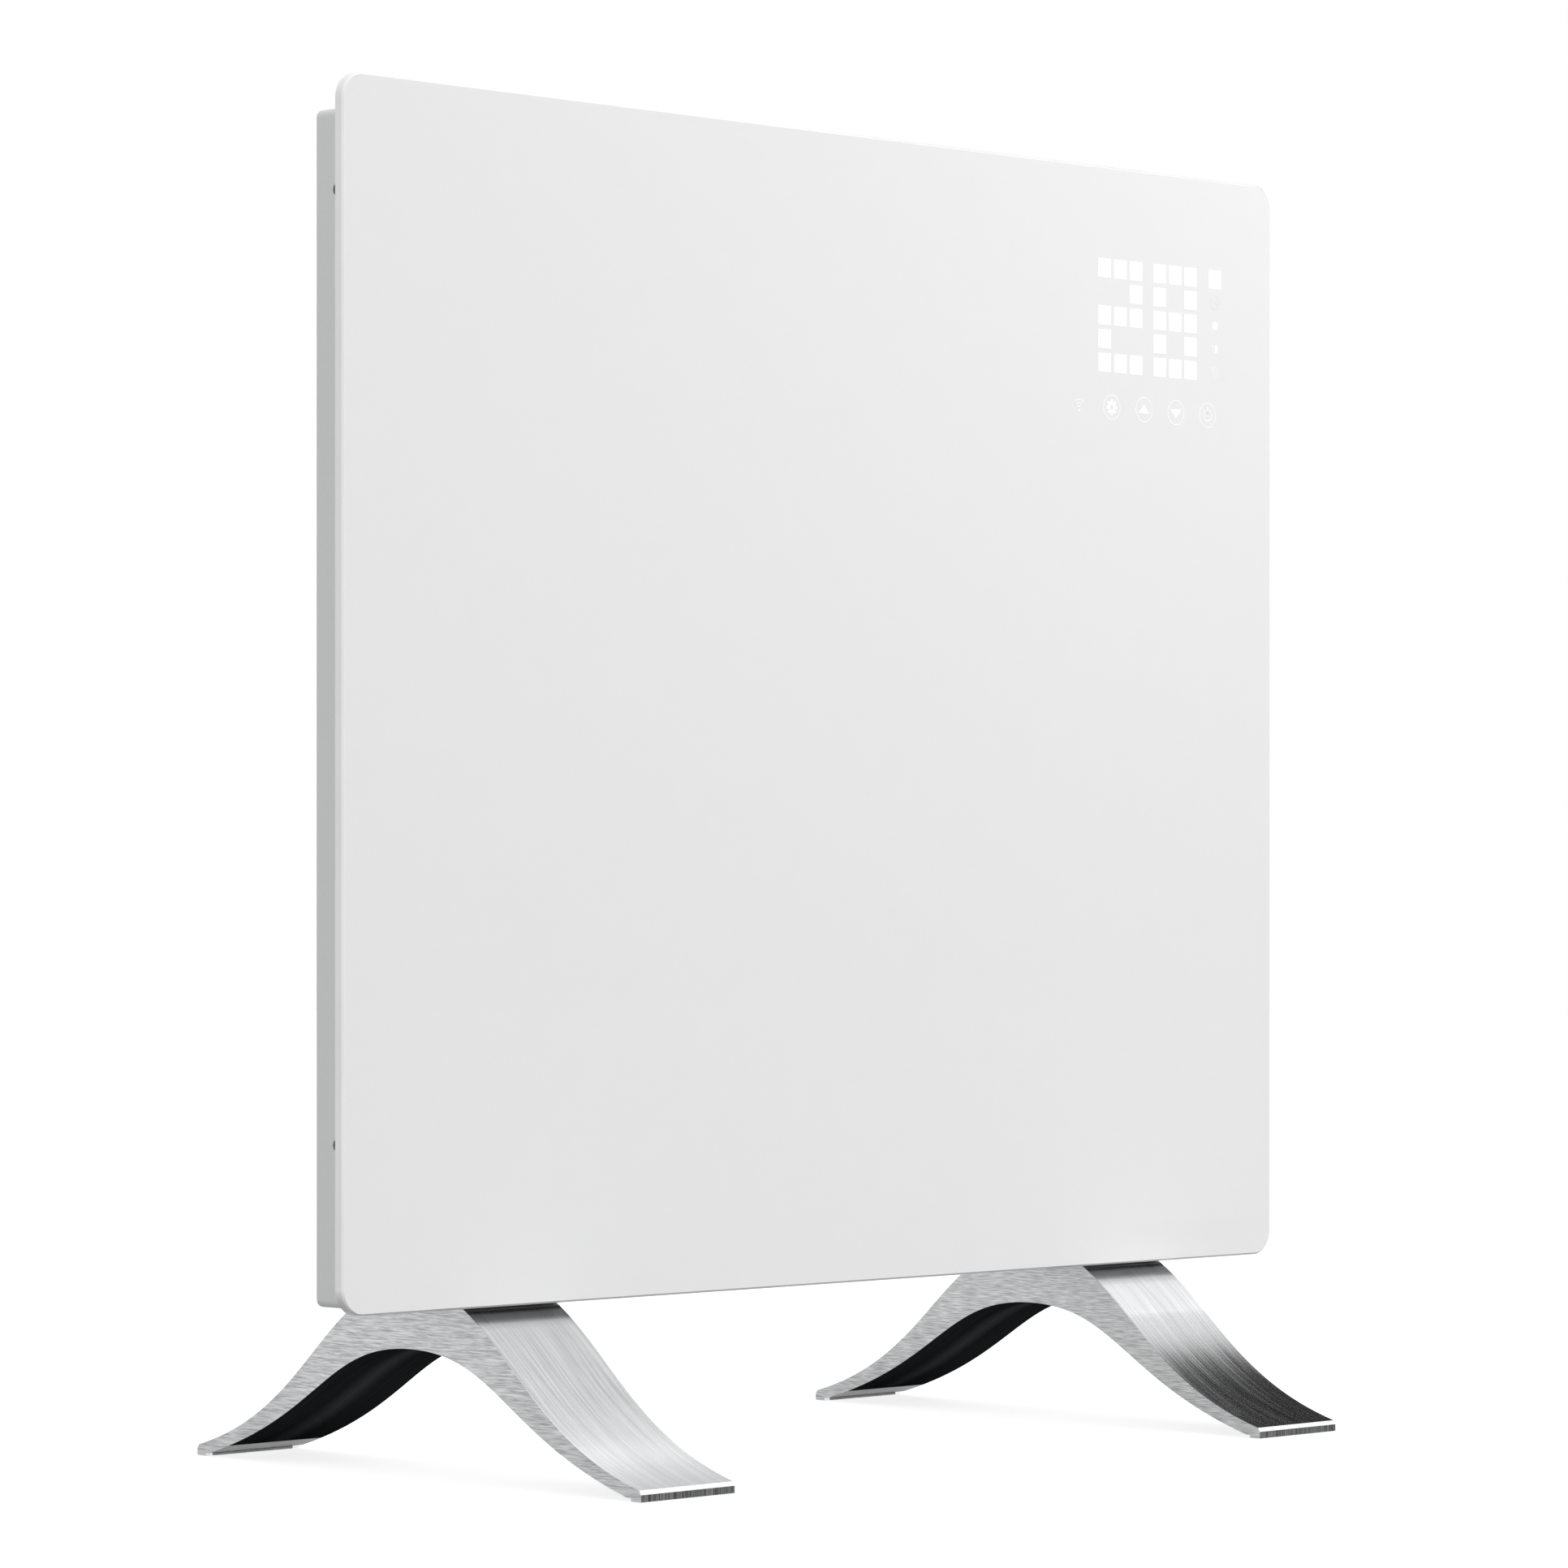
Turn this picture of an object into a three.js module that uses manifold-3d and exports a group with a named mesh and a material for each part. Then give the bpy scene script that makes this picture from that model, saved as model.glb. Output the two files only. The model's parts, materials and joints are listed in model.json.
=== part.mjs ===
// A slim convector heater: a white glass front bonded to a folded steel body that stands on two
// arched aluminium feet. Millimetres, +Z up. The origin is on the floor below the middle of the
// feet, and the glass faces -Y. "Left" and "right" are as seen from the front.

import * as THREE from "three";
import { mergeVertices } from "three/addons/utils/BufferGeometryUtils.js";
import Module from "manifold-3d";

const wasm = await Module();
wasm.setup();

// ---------------------------------------------------------------- driving dimensions

// Clearances
const touchGap = 0.3; // between faces that rest on each other
const screwPlay = 0.35; // radial play of a screw in its hole
const slideGap = 0.4; // round a lid or an insert that drops into place
const past = 1; // how far a cutting shape runs past the face it opens

// Glass
const glassWidth = 528;
const glassHeight = 460;
const glassThickness = 5;
const glassCornerRadius = 10;
const glassCornerSteps = 10;
const glassArris = 0.75; // polished flat along every edge
const glassForward = 36.5; // front face ahead of the feet's middle
const glassLap = 0.2; // bottom edge below the body

// Feet
const footHeight = 66.2;
const footWidth = 48.2;
const footDepth = 253.8;
const footInset = 65.6; // glass edge in to the outer face of the foot
const footSeat = 58; // flat top that carries the body
const archHeight = 49;
const toeThickness = 4.3;
const toeRound = 2;
const toeRecess = 1.2; // sole above the floor, between the nubs
const toeLength = 7.3; // flat sole behind the end of the arch
const nubLength = 5.3;
const nubWidth = 3;
const shoulderRun = 29.5; // how far the outer curve leads out of the seat
const shoulderFall = 16.8;
const ankleRun = 52.7; // how far the outer curve leads into the toe
const ankleRise = 14.2;
const crownRun = 47.7; // how far the arch stays flat from its middle
const instepRun = 66.6; // how far the arch leads into the sole
const instepRise = 19;
const footEdgeBreak = 0.4;
const padInset = 0.5; // pad short of the toe's end
const padCorner = 1;
const legSteps = 12;
const archSteps = 12;
const toeSteps = 4;

// Body
const sheet = 1.2;
const foldRadius = 3;
const bodyInset = 26; // glass overhang on each side
const bodyDepth = 40; // back of the glass to the rear face
const bodyTopDrop = 8.4; // top of the glass down to the body
const bondThickness = 1;
const bondWidth = 12;
const bondInset = 3;

// Rear cover
const coverLip = 8; // turned edge along the top and bottom
const coverFlange = 18; // turned edge along the sides, which takes the side screws
const flangeShort = 12; // side flanges end short of the corners
const ventWidth = 5;
const ventLength = 26;
const ventPitch = 20;
const ventFromSide = 44;
const ventRise = 62; // middle of each row from the body's top or bottom
const pressingDepth = 0.8; // shallow stiffening field in the middle of the cover
const pressingCorner = 12;
const pressingFromSide = 30;
const pressingFromHoles = 20; // clear of the vents below it and the keyholes above it
const hangSpan = 350;
const hangDrop = 118; // keyholes below the top of the body
const hangHeadRadius = 5;
const hangSlotRadius = 2.6;
const hangSlotRise = 11;

// Outlet grille in the top
const grilleFromSide = 36;
const grilleCorner = 2;
const grilleRim = 2.4;
const grilleThickness = 1.5;
const vaneCount = 4;
const vaneHeight = 11;
const vaneThickness = 1.2;
const vaneLean = 4.5; // top edge of a vane ahead of its lower edge
const vaneSink = 0.6; // vanes below the collar's edges
const grilleRibs = 5;
const ribSink = 2.5; // ribs below the vanes' edges
const grilleSetBack = 3; // clear of the front wall
const grilleBackRoom = 1.8; // rim to the cover's lip

// Inlet slots in the bottom, between the feet
const inletWidth = 4;
const inletPitch = 12;
const inletFromFoot = 16;

// Screws
const sideScrewHead = 2.5; // radius
const sideScrewShank = 1.4;
const sideScrewLength = 7;
const sideScrewFromBack = 12;
const sideScrewFromTop = 31;
const sideScrewFromBottom = 61.3;
const crossReach = 1.6; // cross recess in a side screw's head
const crossWidth = 0.8;
const crossDepth = 0.6;
const footScrewHead = 4.4;
const footScrewHeadHeight = 4.5;
const footScrewShank = 2.5;
const footScrewSocket = 2.2;
const footScrewSpacing = 24;
const footScrewTip = 2; // stands out above the nut plate
const footScrewChamfer = 0.8;
const seatWeb = 10.5; // aluminium between the screw head and the seat
const nutPlateThickness = 3;
const nutPlateLength = 42;
const nutPlateDepth = 20;
const nutPlateCorner = 2;

// Heating element
const elementHeight = 84; // axis above the bottom of the body
const hubRadius = 5.2;
const rodRadius = 3.4;
const rodStickOut = 9;
const rodPinRadius = 1.4;
const rodPinLength = 7;
const wingRadius = 70; // curvature of each of the four wings
const wingSweep = 27; // degrees
const wingLean = 60; // degrees from the horizontal where a wing leaves the hub
const wingThickness = 1.4;
const wingSteps = 5;
const louvreColumns = 8;
const louvreLength = 26;
const louvreHeight = 4;
const louvreReach = 22; // louvres above and below the axis
const bracketThickness = 1.2;
const bracketHeight = 56;
const bracketFlange = 13;
const bracketRim = 6; // web beyond the rod
const bracketGap = 2.5; // past the end of the wings
const reflectorThickness = 0.5;
const reflectorHeight = 120;
const cutoutClear = 1.2; // thermal cut-out above the reflector
const cutoutRadius = 7.8;
const cutoutDepth = 9.5;
const cutoutFlange = 3;
const cutoutFlangeThickness = 1;
const cutoutTabSpacing = 7;
const cutoutTabWidth = 6;
const cutoutTabLength = 7;
const cutoutTabThickness = 0.8;

// Partition between the warm side and the electronics
const partitionClear = 12; // to the tilt switch
const partitionThickness = 0.8;
const partitionTopRoom = 6; // below the outlet grille
const partitionFlange = 10;
const grommetHole = 5;

// Display, in from the body's right wall and down from the top of the glass
const displayFromWall = 1.1; // carrier's outer side to the wall
const windowMargin = 2; // round the outermost lights
const windowRadius = 3;
const maskThickness = 4.7;
const boardThickness = 1.6;
const cellSize = 8.05;
const cellPitch = 9.9;
const digitsFromSigns = 43.2; // middle of the two digits to the column of signs
const digitPitch = 34.9;
const digitColumns = 3;
const digitRows = 5;
const digitFromTop = 62.4; // middle row of the digits
const keyFromTop = 100.8;
const keyPitch = 20.4;
const lastKeyFromSigns = 4.9; // to the column of signs
const keyRadius = 5.2;
const iconRadius = 3.4;
const carrierWall = 2.4;
const carrierDepth = 6;
const springRadius = 3;
const springWire = 0.35;
const springTurns = 3;
const springStepsPerTurn = 6;
const keyNames = ["wireless", "settings", "up", "down", "power"]; // from left to right
const wifiFromLeft = 24;
const wifiFromTop = 22;
const wifiWidth = 24;
const wifiHeight = 16;
const wifiThickness = 0.8;
const wifiCanWidth = 16;
const wifiCanHeight = 13;
const wifiCanThickness = 2.2;
const wifiCanInset = 2; // can in from the module's left edge
const ribbonWidth = 16;
const ribbonThickness = 0.8;
const ribbonBelly = 16; // slack behind the boards
const ribbonFromCaseTop = 12;
const ribbonIntoWindow = 10;
const ribbonStartRise = 4; // ends lead straight back for these heights
const ribbonEndDrop = 22;

// Electronics
const caseWidth = 96;
const caseHeight = 140;
const caseDepth = 12;
const caseWall = 1.6;
const caseCorner = 3;
const caseBelowDisplay = 45;
const boardStandoff = 4;
const boardMargin = 2;
const postRadius = 3;
const postHole = 1.6;
const postInset = 4; // middle of a post in from the board's edges
const relayWidth = 20;
const relayDepth = 15;
const relayHeight = 16;
const relayFromLeft = 22.4; // board's edge to the middle of the piece, here and below
const relayFromBottom = 24.4;
const transformerFromRight = 24.4;
const transformerFromBottom = 60.4;
const transformerBase = 24;
const transformerBaseThickness = 2;
const coreWidth = 22;
const coreHeight = 18;
const coreDepth = 14;
const windingWidth = 14;
const windingDepth = 13;
const capacitorRadius = 5;
const capacitorLength = 16.6;
const capacitorBevel = 0.7;
const capacitorFromRight = 22.4;
const capacitorFromTop = 28.4;
const sinkWidth = 28;
const sinkBase = 2;
const sinkWeb = 1.6;
const sinkDepth = 16;
const finCount = 5;
const finPitch = 6;
const finThickness = 1.4;
const finHeight = 14;
const sinkFromLeft = 22.4;
const sinkFromTop = 46.4;

// Internal leads
const leadRadius = 1.5;
const leadBend = 4; // straight run before a lead turns
const leadRoom = 2; // loop to the nearest wall
const leadRise = 25; // first upright stretch above the rod
const leadSteps = 16;
const cutoutLeadFromEdge = 12; // where each lead lands on the board, from the case's left and bottom
const cutoutLeadFromBottom = 20;
const rodLeadFromEdge = 34;
const rodLeadFromBottom = 10;

// Mains switch, gland and terminal block on the right
const switchZ = 150;
const bezelHeight = 24;
const bezelWidth = 15;
const bezelThickness = 1.5;
const bezelCorner = 2;
const switchBodyHeight = 21;
const switchBodyWidth = 13.4;
const switchBodyDepth = 20;
const rockerWidth = 10;
const rockerHalfHeight = 8;
const rockerCrown = 2; // rocker's middle ahead of its pivot
const rockerBelly = 5;
const rockerTilt = 10; // degrees each way from level
const rockerPivotRadius = 1.2;
const rockerPivotLength = 0.8;
const pocketRoom = 1; // beyond the rocker's ends and behind its belly
const switchTabPitch = 10;
const switchTabWidth = 6.3;
const switchTabThickness = 0.8;
const switchTabLength = 8;
const glandZ = 102;
const glandHoleRadius = 6.5;
const glandSides = 16;
const glandFlangeRadius = 8;
const glandFlangeThickness = 2.5;
const glandFlangeBevel = 1;
const glandBore = 3.7;
const glandBoreBevel = 0.6;
const glandDepth = 11;
const glandSnap = 1.5; // full-width stretch behind the wall
const glandTaper = 1.2;
const coreRoom = 12; // for the cores to spread between the gland and the terminal block
const terminalLength = 30;
const terminalDepth = 15;
const terminalHeight = 18;
const terminalPitch = 9;
const terminalPort = 2;
const terminalScrewPort = 2.2;
const terminalPortDepth = 6; // ports behind the block's seat
const sensorFromSide = 18;
const sensorClipWidth = 10;
const sensorClipDepth = 8;
const sensorClipHeight = 4;
const sensorRadius = 2.4;
const sensorHeight = 14;
const sensorTip = 2;

// Tilt switch: a pendulum that hangs in its housing
const tiltFromNutPlate = 4.3;
const tiltWidth = 16;
const tiltBackRoom = 3.7;
const tiltHeight = 36;
const tiltWall = 1.8;
const tiltFloor = 4.8;
const tiltWindowWidth = 16;
const tiltWindowFromEnd = 3; // window's ends in from the hollow's
const pendulumLength = 18;
const pendulumRadius = 4.4;
const pendulumThickness = 6;
const pivotRadius = 1.1;
const pivotDrop = 6.8; // pivot below the top of the case
const pendulumHub = 3;
const pendulumArmWidth = 2.8;
const pendulumArmThickness = 3;
const reedRadius = 1.5;
const reedHole = 2;
const reedHeight = 2.8;
const reedStickOut = 3;

// ---------------------------------------------------------------- derived places

const bodyWidth = glassWidth - 2 * bodyInset;
const bodyBottom = footHeight + touchGap;
const glassBottom = bodyBottom - glassLap;
const glassTop = glassBottom + glassHeight;
const bodyTop = glassTop - bodyTopDrop;
const bodyHeight = bodyTop - bodyBottom;
const bodyMiddleZ = (bodyTop + bodyBottom) / 2;
const glassFrontY = -glassForward;
const glassBackY = glassFrontY + glassThickness;
const trayFrontY = glassBackY + bondThickness + 2 * touchGap;
const bodyBackY = glassBackY + bodyDepth;
const innerFrontY = trayFrontY + sheet;
const innerBackY = bodyBackY - sheet;
const seatFrontY = innerFrontY + touchGap; // where a piece sits on the inside of the front wall
const middleY = (innerFrontY + innerBackY) / 2;
const innerHalfWidth = bodyWidth / 2 - sheet;
const innerBottom = bodyBottom + sheet;
const footX = glassWidth / 2 - footInset - footWidth / 2;
const nutPlateBottom = innerBottom + touchGap;
const aboveLipZ = innerBottom + slideGap + sheet + touchGap; // clear of the rear cover's lower lip
const coverHalfWidth = innerHalfWidth - slideGap;
const coverLipY = bodyBackY - coverLip;
const footScrewY = (seatFrontY + coverLipY) / 2;
const grilleFrontY = innerFrontY + grilleSetBack;
const grilleDepth = coverLipY - grilleBackRoom - grilleRim - grilleFrontY;
const grilleY = grilleFrontY + grilleDepth / 2;
const grilleLength = bodyWidth - 2 * grilleFromSide;
const grilleFloor = -sheet - touchGap - vaneHeight; // below the body's top

const tiltX = footX - nutPlateLength / 2 - tiltFromNutPlate - tiltWidth / 2;
const tiltDepth = innerBackY - tiltBackRoom - seatFrontY;
const partitionX = tiltX - tiltWidth / 2 - reedStickOut - partitionClear;
const partitionHeight = bodyTop + grilleFloor - partitionTopRoom - aboveLipZ;

const rodReach = rodStickOut + rodPinLength + touchGap; // element's end to the start of a lead
const elementEndRoom = rodReach + 2 * leadBend + leadRadius + leadRoom;
const elementLength = partitionX + innerHalfWidth - 2 * elementEndRoom;
const elementCentreX = (partitionX - innerHalfWidth) / 2;
const elementZ = bodyBottom + elementHeight;
const cutoutZ = elementZ + reflectorHeight / 2 + cutoutClear + cutoutFlange + cutoutRadius;

const degreeX = innerHalfWidth - displayFromWall - carrierWall - windowMargin - cellSize / 2;
const digitMiddleX = degreeX - digitsFromSigns;
const digitMiddleZ = glassTop - digitFromTop;
const keyMiddleX = degreeX - lastKeyFromSigns - ((keyNames.length - 1) / 2) * keyPitch;
const keyZ = glassTop - keyFromTop;
const windowLeft = keyMiddleX - 2 * keyPitch - keyRadius - windowMargin;
const windowRight = degreeX + cellSize / 2 + windowMargin;
const windowLow = keyZ - keyRadius - windowMargin;
const windowHigh = digitMiddleZ + 2 * cellPitch + cellSize / 2 + windowMargin;
const windowWidth = windowRight - windowLeft;
const windowHeight = windowHigh - windowLow;
const windowX = (windowLeft + windowRight) / 2;
const windowZ = (windowLow + windowHigh) / 2;
const maskFrontY = glassBackY + touchGap;
const boardFrontY = maskFrontY + maskThickness + touchGap;

const caseCentreX = (partitionX + innerHalfWidth) / 2;
const caseTop = windowLow - carrierWall - caseBelowDisplay;
const caseBottom = caseTop - caseHeight;
const powerBoardY = caseWall + boardStandoff + touchGap; // behind the seat of the case
const onPowerBoardY = powerBoardY + boardThickness + touchGap;

// Between the front wall and the rear cover's side flange.
const switchY = (innerFrontY + bodyBackY - coverFlange) / 2;
const terminalX = bodyWidth / 2 + touchGap - glandDepth - coreRoom - terminalLength / 2;
const sideScrewY = bodyBackY - sideScrewFromBack;
const screwSeatZ = footHeight - seatWeb;
const sides = [
  ["left", -1],
  ["right", 1],
];
const sideScrewHeights = [
  ["upper", bodyTop - sideScrewFromTop],
  ["lower", bodyBottom + sideScrewFromBottom],
];
const degrees = Math.PI / 180;
const quarterTurn = Math.PI / 2;

// ---------------------------------------------------------------- finishes

function finish(color, roughness, metalness = 0) {
  return new THREE.MeshStandardMaterial({ color, roughness, metalness, flatShading: true });
}
const whiteGlass = finish(0xf2f3f1, 0.08);
const paintedSteel = finish(0xc9cbca, 0.45);
const brushedAluminium = finish(0xb9bcbd, 0.35, 1);
const darkScrew = finish(0x4a4b4c, 0.4, 1);
const zincSteel = finish(0x9da0a3, 0.4, 1);
const clearRubber = finish(0xdcdedd, 0.6);
const foam = finish(0x3a3a3a, 0.9);
const castAluminium = finish(0xa8abad, 0.5, 1);
const whitePlastic = finish(0xe6e6e2, 0.5);
const blackPlastic = finish(0x1d1e20, 0.45);
const circuitBoard = finish(0x1f5a3c, 0.5);
const copper = finish(0xb87942, 0.35, 1);
const redSleeve = finish(0x9c3b2e, 0.7);

// ---------------------------------------------------------------- outlines

function rectangle(width, height, x = 0, y = 0) {
  const [left, right, low, high] = [x - width / 2, x + width / 2, y - height / 2, y + height / 2];
  return new THREE.Shape()
    .moveTo(left, low)
    .lineTo(right, low)
    .lineTo(right, high)
    .lineTo(left, high)
    .closePath();
}

// Points along an arc, both ends included.
function arc(x, y, radius, from, to, steps) {
  return Array.from({ length: steps + 1 }, (_, i) => {
    const angle = from + ((to - from) * i) / steps;
    return new THREE.Vector2(x + radius * Math.cos(angle), y + radius * Math.sin(angle));
  });
}

function roundedRectangle(width, height, radius, x = 0, y = 0, steps = 3) {
  const [left, right] = [x - width / 2 + radius, x + width / 2 - radius];
  const [low, high] = [y - height / 2 + radius, y + height / 2 - radius];
  return new THREE.Shape([
    ...arc(right, low, radius, -quarterTurn, 0, steps),
    ...arc(right, high, radius, 0, quarterTurn, steps),
    ...arc(left, high, radius, quarterTurn, 2 * quarterTurn, steps),
    ...arc(left, low, radius, 2 * quarterTurn, 3 * quarterTurn, steps),
  ]);
}

function disc(radius, x = 0, y = 0, sidesRound = 12) {
  return new THREE.Shape(arc(x, y, radius, 0, 2 * Math.PI, sidesRound).slice(1));
}

// An upright slot with round ends.
function slot(width, length, x = 0, y = 0, steps = 3) {
  const reach = (length - width) / 2;
  return new THREE.Shape([
    ...arc(x, y + reach, width / 2, 0, Math.PI, steps),
    ...arc(x, y - reach, width / 2, Math.PI, 2 * Math.PI, steps),
  ]);
}

// A round head hole with a narrow slot above it, which a wall screw slides into.
function keyhole(headRadius, slotRadius, rise, x, y) {
  const opening = Math.asin(slotRadius / headRadius);
  return new THREE.Shape([
    ...arc(x, y, headRadius, quarterTurn + opening, 5 * quarterTurn - opening, 14),
    ...arc(x, y + rise, slotRadius, 0, Math.PI, 6),
  ]);
}

function withHoles(outline, ...holes) {
  outline.holes.push(...holes);
  return outline;
}

// ---------------------------------------------------------------- solids

// The outline's axes and the direction of extrusion, as the object's axes.
const drawnInYZ = new THREE.Matrix4().makeBasis(
  new THREE.Vector3(0, 1, 0),
  new THREE.Vector3(0, 0, 1),
  new THREE.Vector3(1, 0, 0),
);
const drawnInXZ = new THREE.Matrix4().makeBasis(
  new THREE.Vector3(1, 0, 0),
  new THREE.Vector3(0, 0, 1),
  new THREE.Vector3(0, -1, 0),
);

function alongZ(outline, from, to) {
  const options = { depth: to - from, bevelEnabled: false };
  return new THREE.ExtrudeGeometry(outline, options).translate(0, 0, from);
}

function alongX(outline, from, to) {
  return alongZ(outline, from, to).applyMatrix4(drawnInYZ);
}

function alongY(outline, from, to) {
  return alongZ(outline, -to, -from).applyMatrix4(drawnInXZ);
}

// A plate with a small flat broken along every edge; it spans from 0 to its thickness.
function brokenEdgePlate(outline, thickness, edge) {
  return new THREE.ExtrudeGeometry(outline, {
    depth: thickness - 2 * edge,
    bevelThickness: edge,
    bevelSize: edge,
    bevelOffset: -edge,
    bevelSegments: 1,
  }).translate(0, 0, edge);
}

// A turned piece about the Z axis. The profile runs [radius, height] from the lowest axis point up.
function turned(profile, sidesRound = 12) {
  const points = profile.map(([radius, height]) => new THREE.Vector2(radius, height));
  return new THREE.LatheGeometry(points, sidesRound).rotateX(quarterTurn);
}

// From a middle, half a size each way.
function about(middle, size) {
  return [middle - size / 2, middle + size / 2];
}

function box([lowX, highX], [lowY, highY], [lowZ, highZ]) {
  return new THREE.BoxGeometry(highX - lowX, highY - lowY, highZ - lowZ).translate(
    (lowX + highX) / 2,
    (lowY + highY) / 2,
    (lowZ + highZ) / 2,
  );
}

// A round wire or sleeve along a smooth curve through the points.
function wire(points, radius, steps, sidesRound = 6) {
  const route = new THREE.CatmullRomCurve3(points.map((p) => new THREE.Vector3(...p)));
  const section = new THREE.Shape(
    Array.from({ length: sidesRound }, (_, i) => {
      const angle = (2 * Math.PI * i) / sidesRound;
      return new THREE.Vector2(radius * Math.cos(angle), radius * Math.sin(angle));
    }),
  );
  return new THREE.ExtrudeGeometry(section, { extrudePath: route, steps });
}

function solidOf(geometry) {
  const plain = new THREE.BufferGeometry()
    .setAttribute("position", geometry.getAttribute("position"))
    .setIndex(geometry.index);
  const merged = mergeVertices(plain, 1e-4);
  return new wasm.Manifold(
    new wasm.Mesh({
      numProp: 3,
      vertProperties: merged.attributes.position.array,
      triVerts: new Uint32Array(merged.index.array),
    }),
  );
}

function geometryOf(solid) {
  const { vertProperties, triVerts } = solid.getMesh();
  return new THREE.BufferGeometry()
    .setAttribute("position", new THREE.BufferAttribute(vertProperties, 3))
    .setIndex(new THREE.BufferAttribute(triVerts, 1));
}

function fuse(...pieces) {
  return geometryOf(wasm.Manifold.union(pieces.map(solidOf)));
}

function cut(piece, ...tools) {
  return geometryOf(solidOf(piece).subtract(wasm.Manifold.union(tools.map(solidOf))));
}

const heater = new THREE.Group();

function place(name, geometry, material, position = [0, 0, 0], parent = heater) {
  const mesh = new THREE.Mesh(geometry, material);
  mesh.name = name;
  mesh.position.set(...position);
  parent.add(mesh);
  return mesh;
}

// Places at a pitch, centred on zero: a number of them, or as many as fit in a span.
function evenly(count, pitch) {
  return Array.from({ length: count }, (_, i) => (i - (count - 1) / 2) * pitch);
}

function filling(span, pitch) {
  return evenly(Math.floor(span / pitch) + 1, pitch);
}

// ---------------------------------------------------------------- glass

function addGlass() {
  const outline = roundedRectangle(glassWidth, glassHeight, glassCornerRadius, 0, 0, glassCornerSteps);
  const plate = brokenEdgePlate(outline, glassThickness, glassArris).applyMatrix4(drawnInXZ);
  place("glass_panel", plate, whiteGlass, [0, glassBackY, (glassTop + glassBottom) / 2]);

  const width = bodyWidth - 2 * bondInset;
  const height = bodyHeight - 2 * bondInset;
  const frame = withHoles(
    roundedRectangle(width, height, foldRadius),
    rectangle(width - 2 * bondWidth, height - 2 * bondWidth),
  );
  const bondStart = glassBackY + touchGap;
  const notch = roundedRectangle(windowWidth, windowHeight, windowRadius, windowX, windowZ - bodyMiddleZ);
  const tape = cut(
    alongY(frame, bondStart, bondStart + bondThickness),
    alongY(notch, bondStart - past, bondStart + bondThickness + past),
  );
  place("glass_bond", tape, foam, [0, 0, bodyMiddleZ]);
}

// ---------------------------------------------------------------- feet

// The rear half of the foot's side outline: the outer curve down from the seat, the rounded toe,
// the sole and the arch back to the middle. The front half mirrors it.
function footOutline() {
  const half = footDepth / 2;
  const soleStart = half - toeLength;
  const leg = new THREE.CubicBezierCurve(
    new THREE.Vector2(footSeat / 2, footHeight),
    new THREE.Vector2(footSeat / 2 + shoulderRun, footHeight - shoulderFall),
    new THREE.Vector2(half - toeRound - ankleRun, toeThickness + ankleRise),
    new THREE.Vector2(half - toeRound, toeThickness),
  );
  const arch = new THREE.CubicBezierCurve(
    new THREE.Vector2(soleStart, toeRecess),
    new THREE.Vector2(soleStart - instepRun, toeRecess + instepRise),
    new THREE.Vector2(crownRun, archHeight),
    new THREE.Vector2(0, archHeight),
  );
  const rear = [
    ...leg.getPoints(legSteps),
    ...arc(half - toeRound, toeThickness - toeRound, toeRound, quarterTurn, 0, toeSteps).slice(1),
    new THREE.Vector2(half, toeRecess),
    ...arch.getPoints(archSteps),
  ];
  const front = rear.slice(0, -1).map(({ x, y }) => new THREE.Vector2(-x, y));
  return new THREE.Shape([...rear, ...front.reverse()]);
}

const footScrewSpots = evenly(2, footScrewSpacing);

function footGeometry() {
  const blank = brokenEdgePlate(footOutline(), footWidth, footEdgeBreak)
    .applyMatrix4(drawnInYZ)
    .translate(-footWidth / 2, 0, 0);
  const nubs = [-1, 1].flatMap((across) =>
    [-1, 1].map((way) => {
      const x = across * ((footWidth - nubWidth) / 2 - footEdgeBreak);
      const y = way * ((footDepth - nubLength) / 2 - footEdgeBreak);
      return box(about(x, nubWidth), about(y, nubLength), [0, toeRecess + past]);
    }),
  );
  const bores = footScrewSpots.flatMap((x) => [
    alongZ(disc(footScrewShank + screwPlay, x, footScrewY), archHeight / 2, footHeight + past),
    alongZ(disc(footScrewHead + screwPlay, x, footScrewY), archHeight / 2, screwSeatZ),
  ]);
  return cut(fuse(blank, ...nubs), ...bores);
}

function footScrewGeometry() {
  const rise = nutPlateBottom + nutPlateThickness + footScrewTip - screwSeatZ;
  const blank = turned([
    [0, -footScrewHeadHeight],
    [footScrewHead, -footScrewHeadHeight],
    [footScrewHead, -touchGap],
    [footScrewShank, -touchGap],
    [footScrewShank, rise - footScrewChamfer],
    [footScrewShank - footScrewChamfer, rise],
    [0, rise],
  ]);
  const hexagon = 6;
  const socket = new THREE.CylinderGeometry(footScrewSocket, footScrewSocket, footScrewHeadHeight, hexagon)
    .rotateX(quarterTurn)
    .translate(0, 0, -footScrewHeadHeight);
  return cut(blank, socket);
}

function nutPlateGeometry() {
  const holes = footScrewSpots.map((x) => disc(footScrewShank + screwPlay, x));
  const outline = withHoles(roundedRectangle(nutPlateLength, nutPlateDepth, nutPlateCorner), ...holes);
  return alongZ(outline, 0, nutPlateThickness);
}

function padGeometry() {
  const width = footWidth - 2 * (nubWidth + footEdgeBreak + touchGap);
  return alongZ(roundedRectangle(width, nubLength, padCorner), 0, toeRecess - touchGap);
}

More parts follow.
